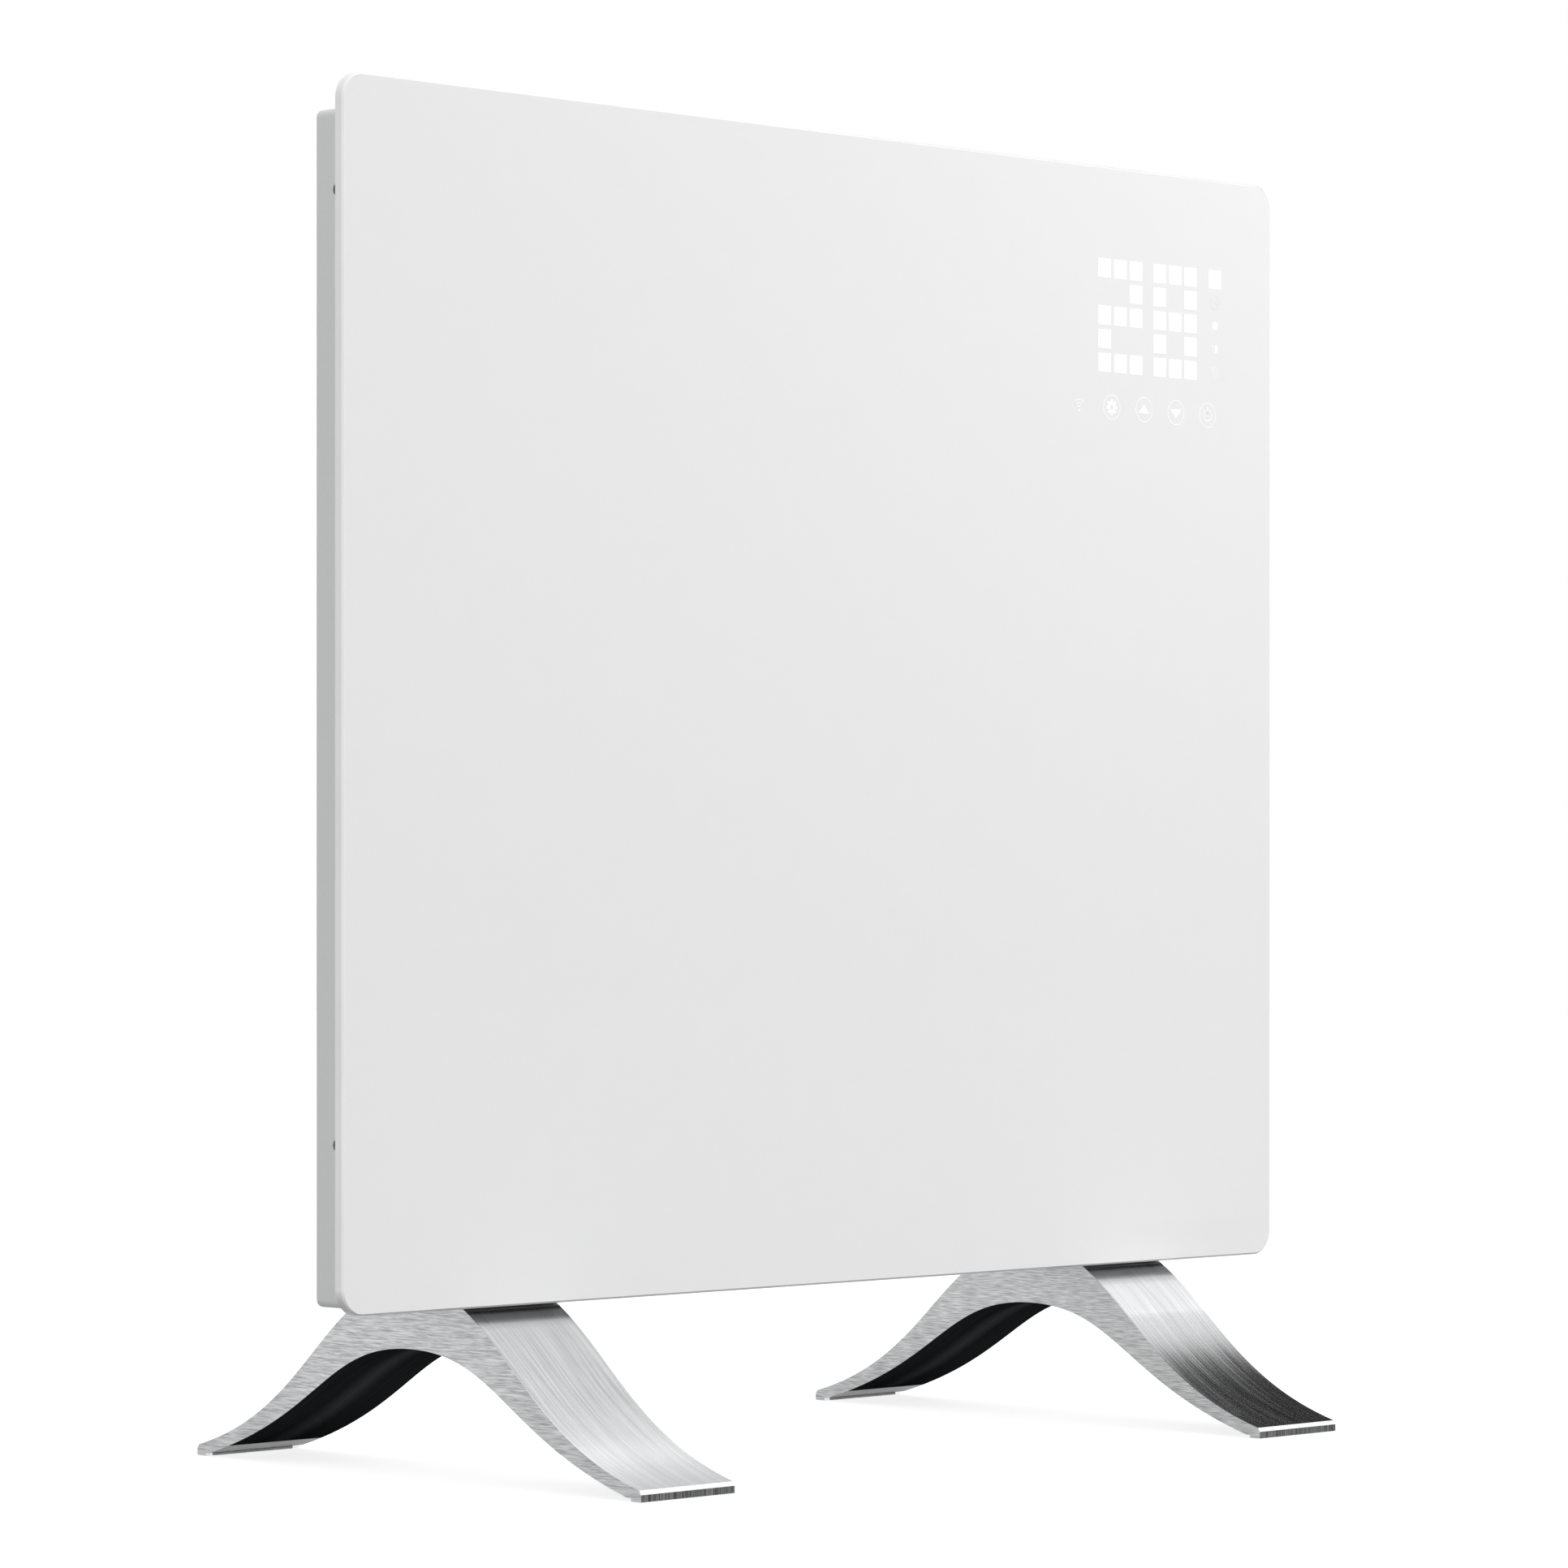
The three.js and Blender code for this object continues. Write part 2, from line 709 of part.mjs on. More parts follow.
function addFeet() {
  const padY = footDepth / 2 - padInset - footEdgeBreak - nubLength / 2;
  for (const [side, way] of sides) {
    const foot = new THREE.Group();
    foot.position.x = way * footX;
    heater.add(foot);
    place(`${side}_foot`, footGeometry(), brushedAluminium, [0, 0, 0], foot);
    place(`${side}_nut_plate`, nutPlateGeometry(), zincSteel, [0, footScrewY, nutPlateBottom], foot);
    footScrewSpots.forEach((x, i) => {
      const spot = [x, footScrewY, screwSeatZ];
      place(`${side}_foot_screw_${i + 1}`, footScrewGeometry(), zincSteel, spot, foot);
    });
    place(`${side}_front_pad`, padGeometry(), clearRubber, [0, -padY, 0], foot);
    place(`${side}_rear_pad`, padGeometry(), clearRubber, [0, padY, 0], foot);
  }
}

// ---------------------------------------------------------------- body

// A cone under each side screw's head, seen along Z with its wide mouth at height 0.
function countersink(mouth, throat, depth) {
  return turned([
    [0, -depth - past],
    [throat, -depth - past],
    [throat, -depth],
    [mouth, 0],
    [mouth, past],
    [0, past],
  ]);
}

function facingOut(geometry, way) {
  return geometry.rotateY(way * quarterTurn);
}

function addTray() {
  const shell = cut(
    alongY(roundedRectangle(bodyWidth, bodyHeight, foldRadius, 0, bodyMiddleZ), trayFrontY, bodyBackY),
    alongY(
      roundedRectangle(bodyWidth - 2 * sheet, bodyHeight - 2 * sheet, foldRadius - sheet, 0, bodyMiddleZ),
      innerFrontY,
      bodyBackY + past,
    ),
  );
  const throughFloor = (outline) => alongZ(outline, bodyBottom - past, innerBottom + past);
  const throughRightWall = (outline) => alongX(outline, innerHalfWidth - past, bodyWidth / 2 + past);
  const displayWindow = roundedRectangle(windowWidth, windowHeight, windowRadius, windowX, windowZ);
  const outlet = roundedRectangle(grilleLength, grilleDepth, grilleCorner, 0, grilleY);
  const inletReach = footX - footWidth / 2 - inletFromFoot;
  const inlets = filling(2 * inletReach, inletPitch).map((x) =>
    throughFloor(slot(inletWidth, grilleDepth, x, grilleY)),
  );
  const footHoles = sides.flatMap(([, way]) =>
    footScrewSpots.map((x) => throughFloor(disc(footScrewShank + screwPlay, way * footX + x, footScrewY))),
  );
  const screwHoles = sides.flatMap(([, way]) =>
    sideScrewHeights.map(([, z]) =>
      facingOut(countersink(sideScrewHead + touchGap, sideScrewShank + screwPlay, sheet), way)
        .translate((way * bodyWidth) / 2, sideScrewY, z),
    ),
  );
  const switchHole = rectangle(
    switchBodyWidth + 2 * touchGap,
    switchBodyHeight + 2 * touchGap,
    switchY,
    switchZ,
  );
  const tray = cut(
    shell,
    alongY(displayWindow, trayFrontY - past, innerFrontY + past),
    alongZ(outlet, bodyTop - sheet - past, bodyTop + past),
    ...inlets,
    ...footHoles,
    ...screwHoles,
    throughRightWall(switchHole),
    throughRightWall(disc(glandHoleRadius + touchGap, switchY, glandZ, glandSides)),
  );
  place("chassis_tray", tray, paintedSteel);
}

function sideScrewGeometry() {
  const blank = turned([
    [0, -sideScrewLength],
    [sideScrewShank, -sideScrewLength],
    [sideScrewShank, -sheet + touchGap],
    [sideScrewHead, 0],
    [0, 0],
  ]);
  const [reach, width, depth] = [about(0, 2 * crossReach), about(0, crossWidth), [-crossDepth, past]];
  return cut(blank, box(reach, width, depth), box(width, reach, depth));
}

function addSideScrews() {
  for (const [side, way] of sides)
    for (const [level, z] of sideScrewHeights)
      place(`${side}_${level}_screw`, facingOut(sideScrewGeometry(), way), darkScrew, [
        (way * bodyWidth) / 2,
        sideScrewY,
        z,
      ]);
}

function addRearCover() {
  const width = 2 * coverHalfWidth;
  const height = bodyHeight - 2 * sheet - 2 * slideGap;
  const corner = foldRadius - sheet;
  const throughBack = (outline) => alongY(outline, innerBackY - pressingDepth - past, bodyBackY + past);
  const outline = roundedRectangle(width, height, corner, 0, bodyMiddleZ);
  const hollow = roundedRectangle(width - 2 * sheet, height - 2 * sheet, corner / 2, 0, bodyMiddleZ);
  const pan = cut(alongY(outline, coverLipY, bodyBackY), alongY(hollow, coverLipY - past, innerBackY));
  const flangeHeight = height - 2 * flangeShort;
  const flanges = sides.map(([, way]) =>
    box(
      about(way * (coverHalfWidth - sheet / 2), sheet),
      [bodyBackY - coverFlange, bodyBackY],
      about(bodyMiddleZ, flangeHeight),
    ),
  );
  const ventRows = [bodyTop - ventRise, bodyBottom + ventRise];
  const vents = ventRows.flatMap((z) =>
    filling(2 * (coverHalfWidth - ventFromSide), ventPitch).map((x) =>
      throughBack(slot(ventWidth, ventLength, x, z)),
    ),
  );
  const hangZ = bodyTop - hangDrop;
  const hangers = evenly(2, hangSpan).map((x) =>
    throughBack(keyhole(hangHeadRadius, hangSlotRadius, hangSlotRise, x, hangZ)),
  );
  const pilots = sideScrewHeights.map(([, z]) =>
    alongX(disc(sideScrewShank + screwPlay, sideScrewY, z), -bodyWidth, bodyWidth),
  );
  const fieldHigh = hangZ - hangHeadRadius - pressingFromHoles;
  const fieldLow = bodyBottom + ventRise + ventLength / 2 + pressingFromHoles;
  const field = (grow) =>
    roundedRectangle(
      width - 2 * pressingFromSide + 2 * grow,
      fieldHigh - fieldLow + 2 * grow,
      pressingCorner + grow,
      0,
      (fieldHigh + fieldLow) / 2,
    );
  const raised = alongY(field(sheet), innerBackY - pressingDepth, innerBackY + sheet / 2);
  const pressed = alongY(field(0), bodyBackY - pressingDepth, bodyBackY + past);
  const cover = cut(fuse(pan, raised, ...flanges), pressed, ...vents, ...hangers, ...pilots);
  place("rear_cover", cover, paintedSteel);
}

// A collar that fills the outlet, with a rim under the top of the tray and leaning vanes on ribs.
function addOutletGrille() {
  const rimTop = -sheet - touchGap;
  const vaneFloor = grilleFloor + vaneSink;
  const vaneTop = -touchGap - vaneSink;
  const length = grilleLength - 2 * slideGap;
  const depth = grilleDepth - 2 * slideGap;
  const rim = withHoles(
    roundedRectangle(grilleLength + 2 * grilleRim, grilleDepth + 2 * grilleRim, grilleCorner),
    rectangle(length - grilleThickness, depth - grilleThickness),
  );
  const collar = withHoles(
    roundedRectangle(length, depth, grilleCorner - slideGap),
    rectangle(length - 2 * grilleThickness, depth - 2 * grilleThickness),
  );
  const vanePitch = (depth - 2 * grilleThickness) / (vaneCount + 1);
  const vanes = evenly(vaneCount, vanePitch).map((y) => {
    const [lean, thick] = [vaneLean / 2, vaneThickness / 2];
    const section = new THREE.Shape([
      new THREE.Vector2(y + lean - thick, vaneFloor),
      new THREE.Vector2(y + lean + thick, vaneFloor),
      new THREE.Vector2(y - lean + thick, vaneTop),
      new THREE.Vector2(y - lean - thick, vaneTop),
    ]);
    return alongX(section, (grilleThickness - length) / 2, (length - grilleThickness) / 2);
  });
  const ribPitch = (length - grilleThickness) / (grilleRibs + 1);
  const ribs = evenly(grilleRibs, ribPitch).map((x) =>
    box(
      about(x, grilleThickness),
      about(0, depth - grilleThickness),
      [vaneFloor + ribSink, vaneTop - ribSink],
    ),
  );
  const rimPlate = alongZ(rim, rimTop - grilleThickness, rimTop);
  const grille = fuse(rimPlate, alongZ(collar, grilleFloor, -touchGap), ...vanes, ...ribs);
  place("outlet_grille", grille, blackPlastic, [0, grilleY, bodyTop]);
}

// ---------------------------------------------------------------- heating element

// One curved wing, drawn in the upper right quarter of the element's section.
function wingOutline() {
  const start = wingLean * degrees - quarterTurn;
  const end = start + wingSweep * degrees;
  const centreY = -wingRadius * Math.cos(start);
  const centreZ = -wingRadius * Math.sin(start);
  return new THREE.Shape([
    ...arc(centreY, centreZ, wingRadius + wingThickness / 2, start, end, wingSteps),
    ...arc(centreY, centreZ, wingRadius - wingThickness / 2, end, start, wingSteps),
  ]);
}

function elementGeometry() {
  const half = elementLength / 2;
  const wing = alongX(wingOutline(), -half, half);
  // Turned half round for the opposite wing, and mirrored front to back for the other two.
  const opposite = wing.clone().rotateX(Math.PI);
  const mirrored = [wing, opposite].map((g) => g.clone().rotateZ(Math.PI));
  const hub = alongX(disc(hubRadius), -half, half);
  const louvrePitch = elementLength / louvreColumns;
  const louvres = evenly(louvreColumns, louvrePitch).flatMap((x) =>
    [-louvreReach, louvreReach].map((z) =>
      box(about(x, louvreLength), [-wingRadius, wingRadius], about(z, louvreHeight)),
    ),
  );
  const bore = alongX(disc(rodRadius + touchGap), -half - past, half + past);
  return cut(fuse(hub, wing, opposite, ...mirrored), bore, ...louvres);
}

function rodGeometry() {
  const half = elementLength / 2 + rodStickOut;
  return turned([
    [0, -half - rodPinLength],
    [rodPinRadius, -half - rodPinLength],
    [rodPinRadius, -half],
    [rodRadius, -half],
    [rodRadius, half],
    [rodPinRadius, half],
    [rodPinRadius, half + rodPinLength],
    [0, half + rodPinLength],
  ]).rotateY(quarterTurn);
}

// An upright angle: the web carries the rod, and the flange sits on the front wall.
function bracketGeometry() {
  const near = elementLength / 2 + bracketGap;
  const far = near + bracketThickness;
  const webDepth = middleY - seatFrontY + rodRadius + bracketRim;
  const web = box([near, far], [0, webDepth], about(0, bracketHeight));
  const flange = box([near, near + bracketFlange], [0, bracketThickness], about(0, bracketHeight));
  const rodHole = alongX(disc(rodRadius + touchGap, middleY - seatFrontY), near - past, far + past);
  return cut(fuse(web, flange), rodHole);
}

function addElement() {
  const element = new THREE.Group();
  element.position.set(elementCentreX, middleY, elementZ);
  heater.add(element);
  place("heating_element", elementGeometry(), castAluminium, [0, 0, 0], element);
  place("heater_rod", rodGeometry(), zincSteel, [0, 0, 0], element);
  for (const [side, way] of sides) {
    const bracket = place(
      `${side}_element_bracket`,
      bracketGeometry(),
      zincSteel,
      [0, seatFrontY - middleY, 0],
      element,
    );
    if (way < 0) bracket.scale.x = -1;
  }
  const width = elementLength + 2 * (bracketGap - touchGap);
  const reflector = alongY(rectangle(width, reflectorHeight), 0, reflectorThickness);
  place("heat_reflector", reflector, castAluminium, [elementCentreX, seatFrontY, elementZ]);
}

function addThermalCutout() {
  const can = turned([
    [0, 0],
    [cutoutRadius + cutoutFlange, 0],
    [cutoutRadius + cutoutFlange, cutoutFlangeThickness],
    [cutoutRadius, cutoutFlangeThickness],
    [cutoutRadius, cutoutDepth],
    [0, cutoutDepth],
  ]);
  const tabs = evenly(2, cutoutTabSpacing).map((x) =>
    box(
      about(x, cutoutTabThickness),
      about(0, cutoutTabWidth),
      [cutoutDepth - cutoutTabThickness, cutoutDepth + cutoutTabLength],
    ),
  );
  const cutout = fuse(can, ...tabs).rotateX(-quarterTurn);
  place("thermal_cutout", cutout, blackPlastic, [elementCentreX, seatFrontY, cutoutZ]);
}

// An upright wall with a flange on the front wall, and holes for the leads.
function addPartition() {
  const depth = innerBackY - pressingDepth - touchGap - seatFrontY;
  const wall = box(about(0, partitionThickness), [0, depth], [0, partitionHeight]);
  const flange = box(
    [-partitionFlange, partitionThickness / 2],
    [0, partitionThickness],
    [0, partitionHeight],
  );
  const holes = [elementZ, cutoutZ].map((z) =>
    alongX(disc(grommetHole, middleY - seatFrontY, z - aboveLipZ), -past, past),
  );
  place("partition_shield", cut(fuse(wall, flange), ...holes), zincSteel, [
    partitionX,
    seatFrontY,
    aboveLipZ,
  ]);
}

// ---------------------------------------------------------------- display

// The lights, as [x, z] from the middle of the display window.
function keySpots() {
  return evenly(keyNames.length, keyPitch).map((x) => [keyMiddleX - windowX + x, keyZ - windowZ]);
}

function cellSpots() {
  const middleX = digitMiddleX - windowX;
  const middleZ = digitMiddleZ - windowZ;
  const digits = evenly(2, digitPitch).flatMap((digit) =>
    evenly(digitColumns, cellPitch).flatMap((x) =>
      evenly(digitRows, cellPitch).map((z) => [middleX + digit + x, middleZ + z]),
    ),
  );
  return [...digits, [degreeX - windowX, middleZ + 2 * cellPitch]];
}

function iconSpots() {
  return [1, 0, -1, -2].map((row) => [degreeX - windowX, digitMiddleZ - windowZ + row * cellPitch]);
}

// A coil that stands on the back of the glass and presses on the display board.
function springGeometry() {
  const length = boardFrontY - touchGap - maskFrontY - 2 * springWire;
  const steps = springTurns * springStepsPerTurn;
  const coil = Array.from({ length: steps + 1 }, (_, i) => {
    const angle = (2 * Math.PI * i) / springStepsPerTurn;
    const rise = springWire + (length * i) / steps;
    return [springRadius * Math.cos(angle), rise, springRadius * Math.sin(angle)];
  });
  return wire(coil, springWire, steps, 4);
}

function addDisplay() {
  const display = new THREE.Group();
  display.position.set(windowX, 0, windowZ);
  heater.add(display);
  const width = windowWidth - 2 * touchGap;
  const height = windowHeight - 2 * touchGap;

  const openings = [
    ...cellSpots().map(([x, z]) => rectangle(cellSize, cellSize, x, z)),
    ...iconSpots().map(([x, z]) => disc(iconRadius, x, z, 10)),
    ...keySpots().map(([x, z]) => disc(keyRadius, x, z)),
  ];
  const maskBackY = maskFrontY + maskThickness;
  const maskPlate = cut(
    alongY(roundedRectangle(width, height, windowRadius), maskFrontY, maskBackY),
    ...openings.map((opening) => alongY(opening, maskFrontY - past, maskBackY + past)),
  );
  place("light_mask", maskPlate, whitePlastic, [0, 0, 0], display);

  const boardOutline = roundedRectangle(width - 2 * touchGap, height - 2 * touchGap, windowRadius);
  const board = alongY(boardOutline, boardFrontY, boardFrontY + boardThickness);
  place("display_board", board, circuitBoard, [0, 0, 0], display);

  const carrier = withHoles(
    roundedRectangle(
      windowWidth + 2 * carrierWall,
      windowHeight + 2 * carrierWall,
      windowRadius + carrierWall,
    ),
    roundedRectangle(windowWidth, windowHeight, windowRadius),
  );
  const carrierRing = alongY(carrier, seatFrontY, seatFrontY + carrierDepth);
  place("display_carrier", carrierRing, blackPlastic, [0, 0, 0], display);

  const canX = (wifiCanWidth - wifiWidth) / 2 + wifiCanInset;
  const canDepths = [wifiThickness / 2, wifiThickness + wifiCanThickness];
  const wifi = fuse(
    box(about(0, wifiWidth), [0, wifiThickness], about(0, wifiHeight)),
    box(about(canX, wifiCanWidth), canDepths, about(0, wifiCanHeight)),
  );
  const wifiSpot = [
    wifiFromLeft - windowWidth / 2,
    boardFrontY + boardThickness + touchGap,
    windowHeight / 2 - wifiFromTop,
  ];
  place("wifi_module", wifi, zincSteel, wifiSpot, display);

  // The wireless light is only an indicator, so no spring stands behind it.
  keySpots().forEach(([x, z], i) => {
    if (keyNames[i] === "wireless") return;
    place(`touch_spring_${keyNames[i]}`, springGeometry(), copper, [x, maskFrontY, z], display);
  });
}

// ---------------------------------------------------------------- electronics

const powerBoardWidth = caseWidth - 2 * (caseWall + boardMargin);
const powerBoardHeight = caseHeight - 2 * (caseWall + boardMargin);

// Each piece on the power board stands on it and is drawn from its seat at y = 0 backwards.
function transformerGeometry() {
  return fuse(
    box(about(0, coreWidth), [0, coreDepth], about(0, coreHeight)),
    box(about(0, windingWidth), [past, windingDepth], about(0, transformerBase - past)),
    box(about(0, transformerBase), [0, transformerBaseThickness], about(0, transformerBase)),
  );
}

function capacitorGeometry() {
  return turned([
    [0, 0],
    [capacitorRadius, 0],
    [capacitorRadius, capacitorLength - capacitorBevel],
    [capacitorRadius - capacitorBevel, capacitorLength],
    [0, capacitorLength],
  ]).rotateX(-quarterTurn);
}

function heatSinkGeometry() {
  const fins = evenly(finCount, finPitch).map((x) =>
    box(about(x, finThickness), [0, sinkDepth], about(0, finHeight)),
  );
  return fuse(
    box(about(0, sinkWidth), [0, sinkDepth - past], about(0, sinkWeb)),
    box(about(0, sinkWidth - past), [0, sinkBase], about(0, finHeight / 2)),
    ...fins,
  );
}

function addPowerCase() {
  const group = new THREE.Group();
  group.position.set(caseCentreX, seatFrontY, (caseTop + caseBottom) / 2);
  heater.add(group);
  const [hollowWidth, hollowHeight] = [caseWidth - 2 * caseWall, caseHeight - 2 * caseWall];
  const shell = cut(
    alongY(roundedRectangle(caseWidth, caseHeight, caseCorner), 0, caseDepth),
    alongY(roundedRectangle(hollowWidth, hollowHeight, caseCorner - caseWall), caseWall, caseDepth + past),
  );
  const right = powerBoardWidth / 2;
  const top = powerBoardHeight / 2;
  const postSpots = evenly(2, 2 * (right - postInset)).flatMap((x) =>
    evenly(2, 2 * (top - postInset)).map((z) => [x, z]),
  );
  const posts = postSpots.map(([x, z]) =>
    alongY(disc(postRadius, x, z), caseWall / 2, caseWall + boardStandoff),
  );
  place("power_case", fuse(shell, ...posts), blackPlastic, [0, 0, 0], group);

  const board = withHoles(
    rectangle(powerBoardWidth, powerBoardHeight),
    ...postSpots.map(([x, z]) => disc(postHole, x, z, 8)),
  );
  const boardPlate = alongY(board, powerBoardY, powerBoardY + boardThickness);
  place("power_board", boardPlate, circuitBoard, [0, 0, 0], group);

  const onBoard = (name, geometry, material, x, z) =>
    place(name, geometry, material, [x, onPowerBoardY, z], group);
  const relay = box(about(0, relayWidth), [0, relayDepth], about(0, relayHeight));
  onBoard("power_relay", relay, blackPlastic, relayFromLeft - right, relayFromBottom - top);
  const transformerX = right - transformerFromRight;
  onBoard("power_transformer", transformerGeometry(), copper, transformerX, transformerFromBottom - top);
  const capacitorX = right - capacitorFromRight;
  onBoard("filter_capacitor", capacitorGeometry(), blackPlastic, capacitorX, top - capacitorFromTop);
  onBoard("triac_heat_sink", heatSinkGeometry(), castAluminium, sinkFromLeft - right, top - sinkFromTop);
}

function addTerminalBlock() {
  const body = box(about(0, terminalLength), [0, terminalDepth], about(0, terminalHeight));
  const ports = evenly(3, terminalPitch).flatMap((x) => [
    alongZ(disc(terminalPort, x, terminalPortDepth, 8), -terminalHeight, terminalHeight),
    alongY(disc(terminalScrewPort, x, 0, 8), terminalPortDepth, terminalDepth + past),
  ]);
  place("terminal_block", cut(body, ...ports), whitePlastic, [terminalX, seatFrontY, glandZ]);
}

function addGland() {
  const behindWall = -sheet - 2 * touchGap;
  const profile = [
    [glandBore, -glandDepth],
    [glandHoleRadius - glandTaper, -glandDepth],
    [glandHoleRadius, behindWall - glandSnap],
    [glandHoleRadius, 0],
    [glandFlangeRadius, 0],
    [glandFlangeRadius, glandFlangeThickness - glandFlangeBevel],
    [glandFlangeRadius - glandFlangeBevel, glandFlangeThickness],
    [glandBore + glandBoreBevel, glandFlangeThickness],
    [glandBore, glandFlangeThickness - glandBoreBevel],
    [glandBore, -glandDepth],
  ];
  const gland = facingOut(turned(profile, glandSides), 1);
  place("cord_gland", gland, blackPlastic, [bodyWidth / 2 + touchGap, switchY, glandZ]);
}

// A bead on a clip that reads the temperature of the air coming in.
function addRoomSensor() {
  const clip = box(about(0, sensorClipWidth), about(0, sensorClipDepth), [0, sensorClipHeight]);
  const bead = turned([
    [0, sensorClipHeight / 2],
    [sensorRadius, sensorClipHeight / 2],
    [sensorRadius, sensorHeight - sensorTip],
    [sensorRadius - sensorTip / 2, sensorHeight],
    [0, sensorHeight],
  ]);
  const x = innerHalfWidth - sensorFromSide;
  place("room_sensor", fuse(clip, bead), whitePlastic, [x, middleY, innerBottom + touchGap]);
}

// A flat ribbon that bends from the power board up to the display board.
function addRibbon() {
  const start = caseTop - ribbonFromCaseTop;
  const end = windowLow + ribbonIntoWindow;
  const frontY = boardFrontY + boardThickness + touchGap;
  const backY = seatFrontY + onPowerBoardY;
  const bend = (shape, fromY, fromZ, toY, toZ) => {
    const handleZ = (z) => (z === start ? start + ribbonStartRise : end - ribbonEndDrop);
    return shape.bezierCurveTo(
      fromY + ribbonBelly, handleZ(fromZ), toY + ribbonBelly, handleZ(toZ), toY, toZ);
  };
  const outline = new THREE.Shape().moveTo(backY, start);
  bend(outline, backY, start, frontY, end).lineTo(frontY + ribbonThickness, end);
  bend(outline, frontY + ribbonThickness, end, backY + ribbonThickness, start).closePath();
  place("display_ribbon", alongX(outline, -ribbonWidth / 2, ribbonWidth / 2), foam, [windowX, 0, 0]);
}

// ---------------------------------------------------------------- mains switch

function switchHousingGeometry() {
  const bezel = alongX(roundedRectangle(bezelWidth, bezelHeight, bezelCorner), 0, bezelThickness);
  const body = box(
    [-switchBodyDepth, bezelThickness / 2],
    about(0, switchBodyWidth),
    about(0, switchBodyHeight),
  );
  const tabs = evenly(2, switchTabPitch).map((z) =>
    box(
      [-switchBodyDepth - switchTabLength, switchTabThickness - switchBodyDepth],
      about(0, switchTabWidth),
      about(z, switchTabThickness),
    ),
  );
  const pocketWidth = rockerWidth + 2 * slideGap;
  const pocket = box(
    [-rockerBelly - pocketRoom, bezelThickness + past],
    about(0, pocketWidth),
    about(0, 2 * (rockerHalfHeight + pocketRoom)),
  );
  const pivotReach = pocketWidth / 2 + rockerPivotLength;
  const pivotHole = alongY(disc(rockerPivotRadius + touchGap), -pivotReach, pivotReach);
  return cut(fuse(bezel, body, ...tabs), pocket, pivotHole);
}

// Two flat faces that meet in a shallow valley over the pivot, and a round belly behind them.
function rockerGeometry() {
  const end = rockerCrown + rockerHalfHeight * Math.tan(rockerTilt * degrees);
  const bellyRadius = (rockerHalfHeight ** 2 + rockerBelly ** 2) / (2 * rockerBelly);
  const bellyAngle = Math.asin(rockerHalfHeight / bellyRadius);
  const outline = new THREE.Shape([
    new THREE.Vector2(end, -rockerHalfHeight),
    new THREE.Vector2(rockerCrown, 0),
    new THREE.Vector2(end, rockerHalfHeight),
    ...arc(bellyRadius - rockerBelly, 0, bellyRadius, Math.PI - bellyAngle, Math.PI + bellyAngle, 8),
  ]);
  const pinReach = rockerWidth / 2 + rockerPivotLength;
  return fuse(
    alongY(outline, -rockerWidth / 2, rockerWidth / 2),
    alongY(disc(rockerPivotRadius), -pinReach, pinReach),
  );
}

function addMainsSwitch() {
  const group = new THREE.Group();
  group.position.set(bodyWidth / 2 + touchGap, switchY, switchZ);
  heater.add(group);
  place("switch_housing", switchHousingGeometry(), blackPlastic, [0, 0, 0], group);
  const rocker = place("switch_rocker", rockerGeometry(), blackPlastic, [0, 0, 0], group);
  rocker.rotation.y = rockerTilt * degrees;
}

// ---------------------------------------------------------------- tilt switch

const tiltPivotZ = tiltHeight - pivotDrop;

function tiltCaseGeometry() {
  const across = [-tiltWidth, tiltWidth];
  const hollow = [tiltFloor, tiltHeight - tiltWall];
  const windowTop = tiltPivotZ - tiltWall - tiltWindowFromEnd;
  return cut(
    box(about(0, tiltWidth), about(0, tiltDepth), [0, tiltHeight]),
    box(about(0, tiltWidth - 2 * tiltWall), about(0, tiltDepth - 2 * tiltWall), hollow),
    box([0, tiltWidth], about(0, tiltWindowWidth), [tiltFloor + tiltWindowFromEnd, windowTop]),
    alongX(disc(pivotRadius + touchGap, 0, tiltPivotZ), ...across),
    alongX(disc(reedHole, 0, reedHeight, 10), ...across),
  );
}

// A round bob on a flat arm, with an eye at the top.
function pendulumGeometry() {
  const half = pendulumThickness / 2;
  return cut(
    fuse(
      alongX(disc(pendulumRadius, 0, -pendulumLength), -half, half),
      alongX(disc(pendulumHub), -half, half),
      box(about(0, pendulumArmThickness), about(0, pendulumArmWidth), [-pendulumLength, 0]),
    ),
    alongX(disc(pivotRadius + touchGap), -tiltWidth, tiltWidth),
  );
}

function addTiltSwitch() {
  const group = new THREE.Group();
  group.position.set(tiltX, seatFrontY + tiltDepth / 2, aboveLipZ);
  heater.add(group);
  place("tilt_switch_case", tiltCaseGeometry(), whitePlastic, [0, 0, 0], group);
  const pin = alongX(disc(pivotRadius), -tiltWidth / 2, tiltWidth / 2);
  place("tilt_pin", pin, zincSteel, [0, 0, tiltPivotZ], group);
  place("tilt_pendulum", pendulumGeometry(), zincSteel, [0, 0, tiltPivotZ], group);
  const reedReach = tiltWidth / 2 + reedStickOut;
  const reed = alongX(disc(reedRadius, 0, 0, 8), -reedReach, reedReach);
  place("reed_switch", reed, whiteGlass, [0, 0, reedHeight], group);
}

// ---------------------------------------------------------------- internal leads

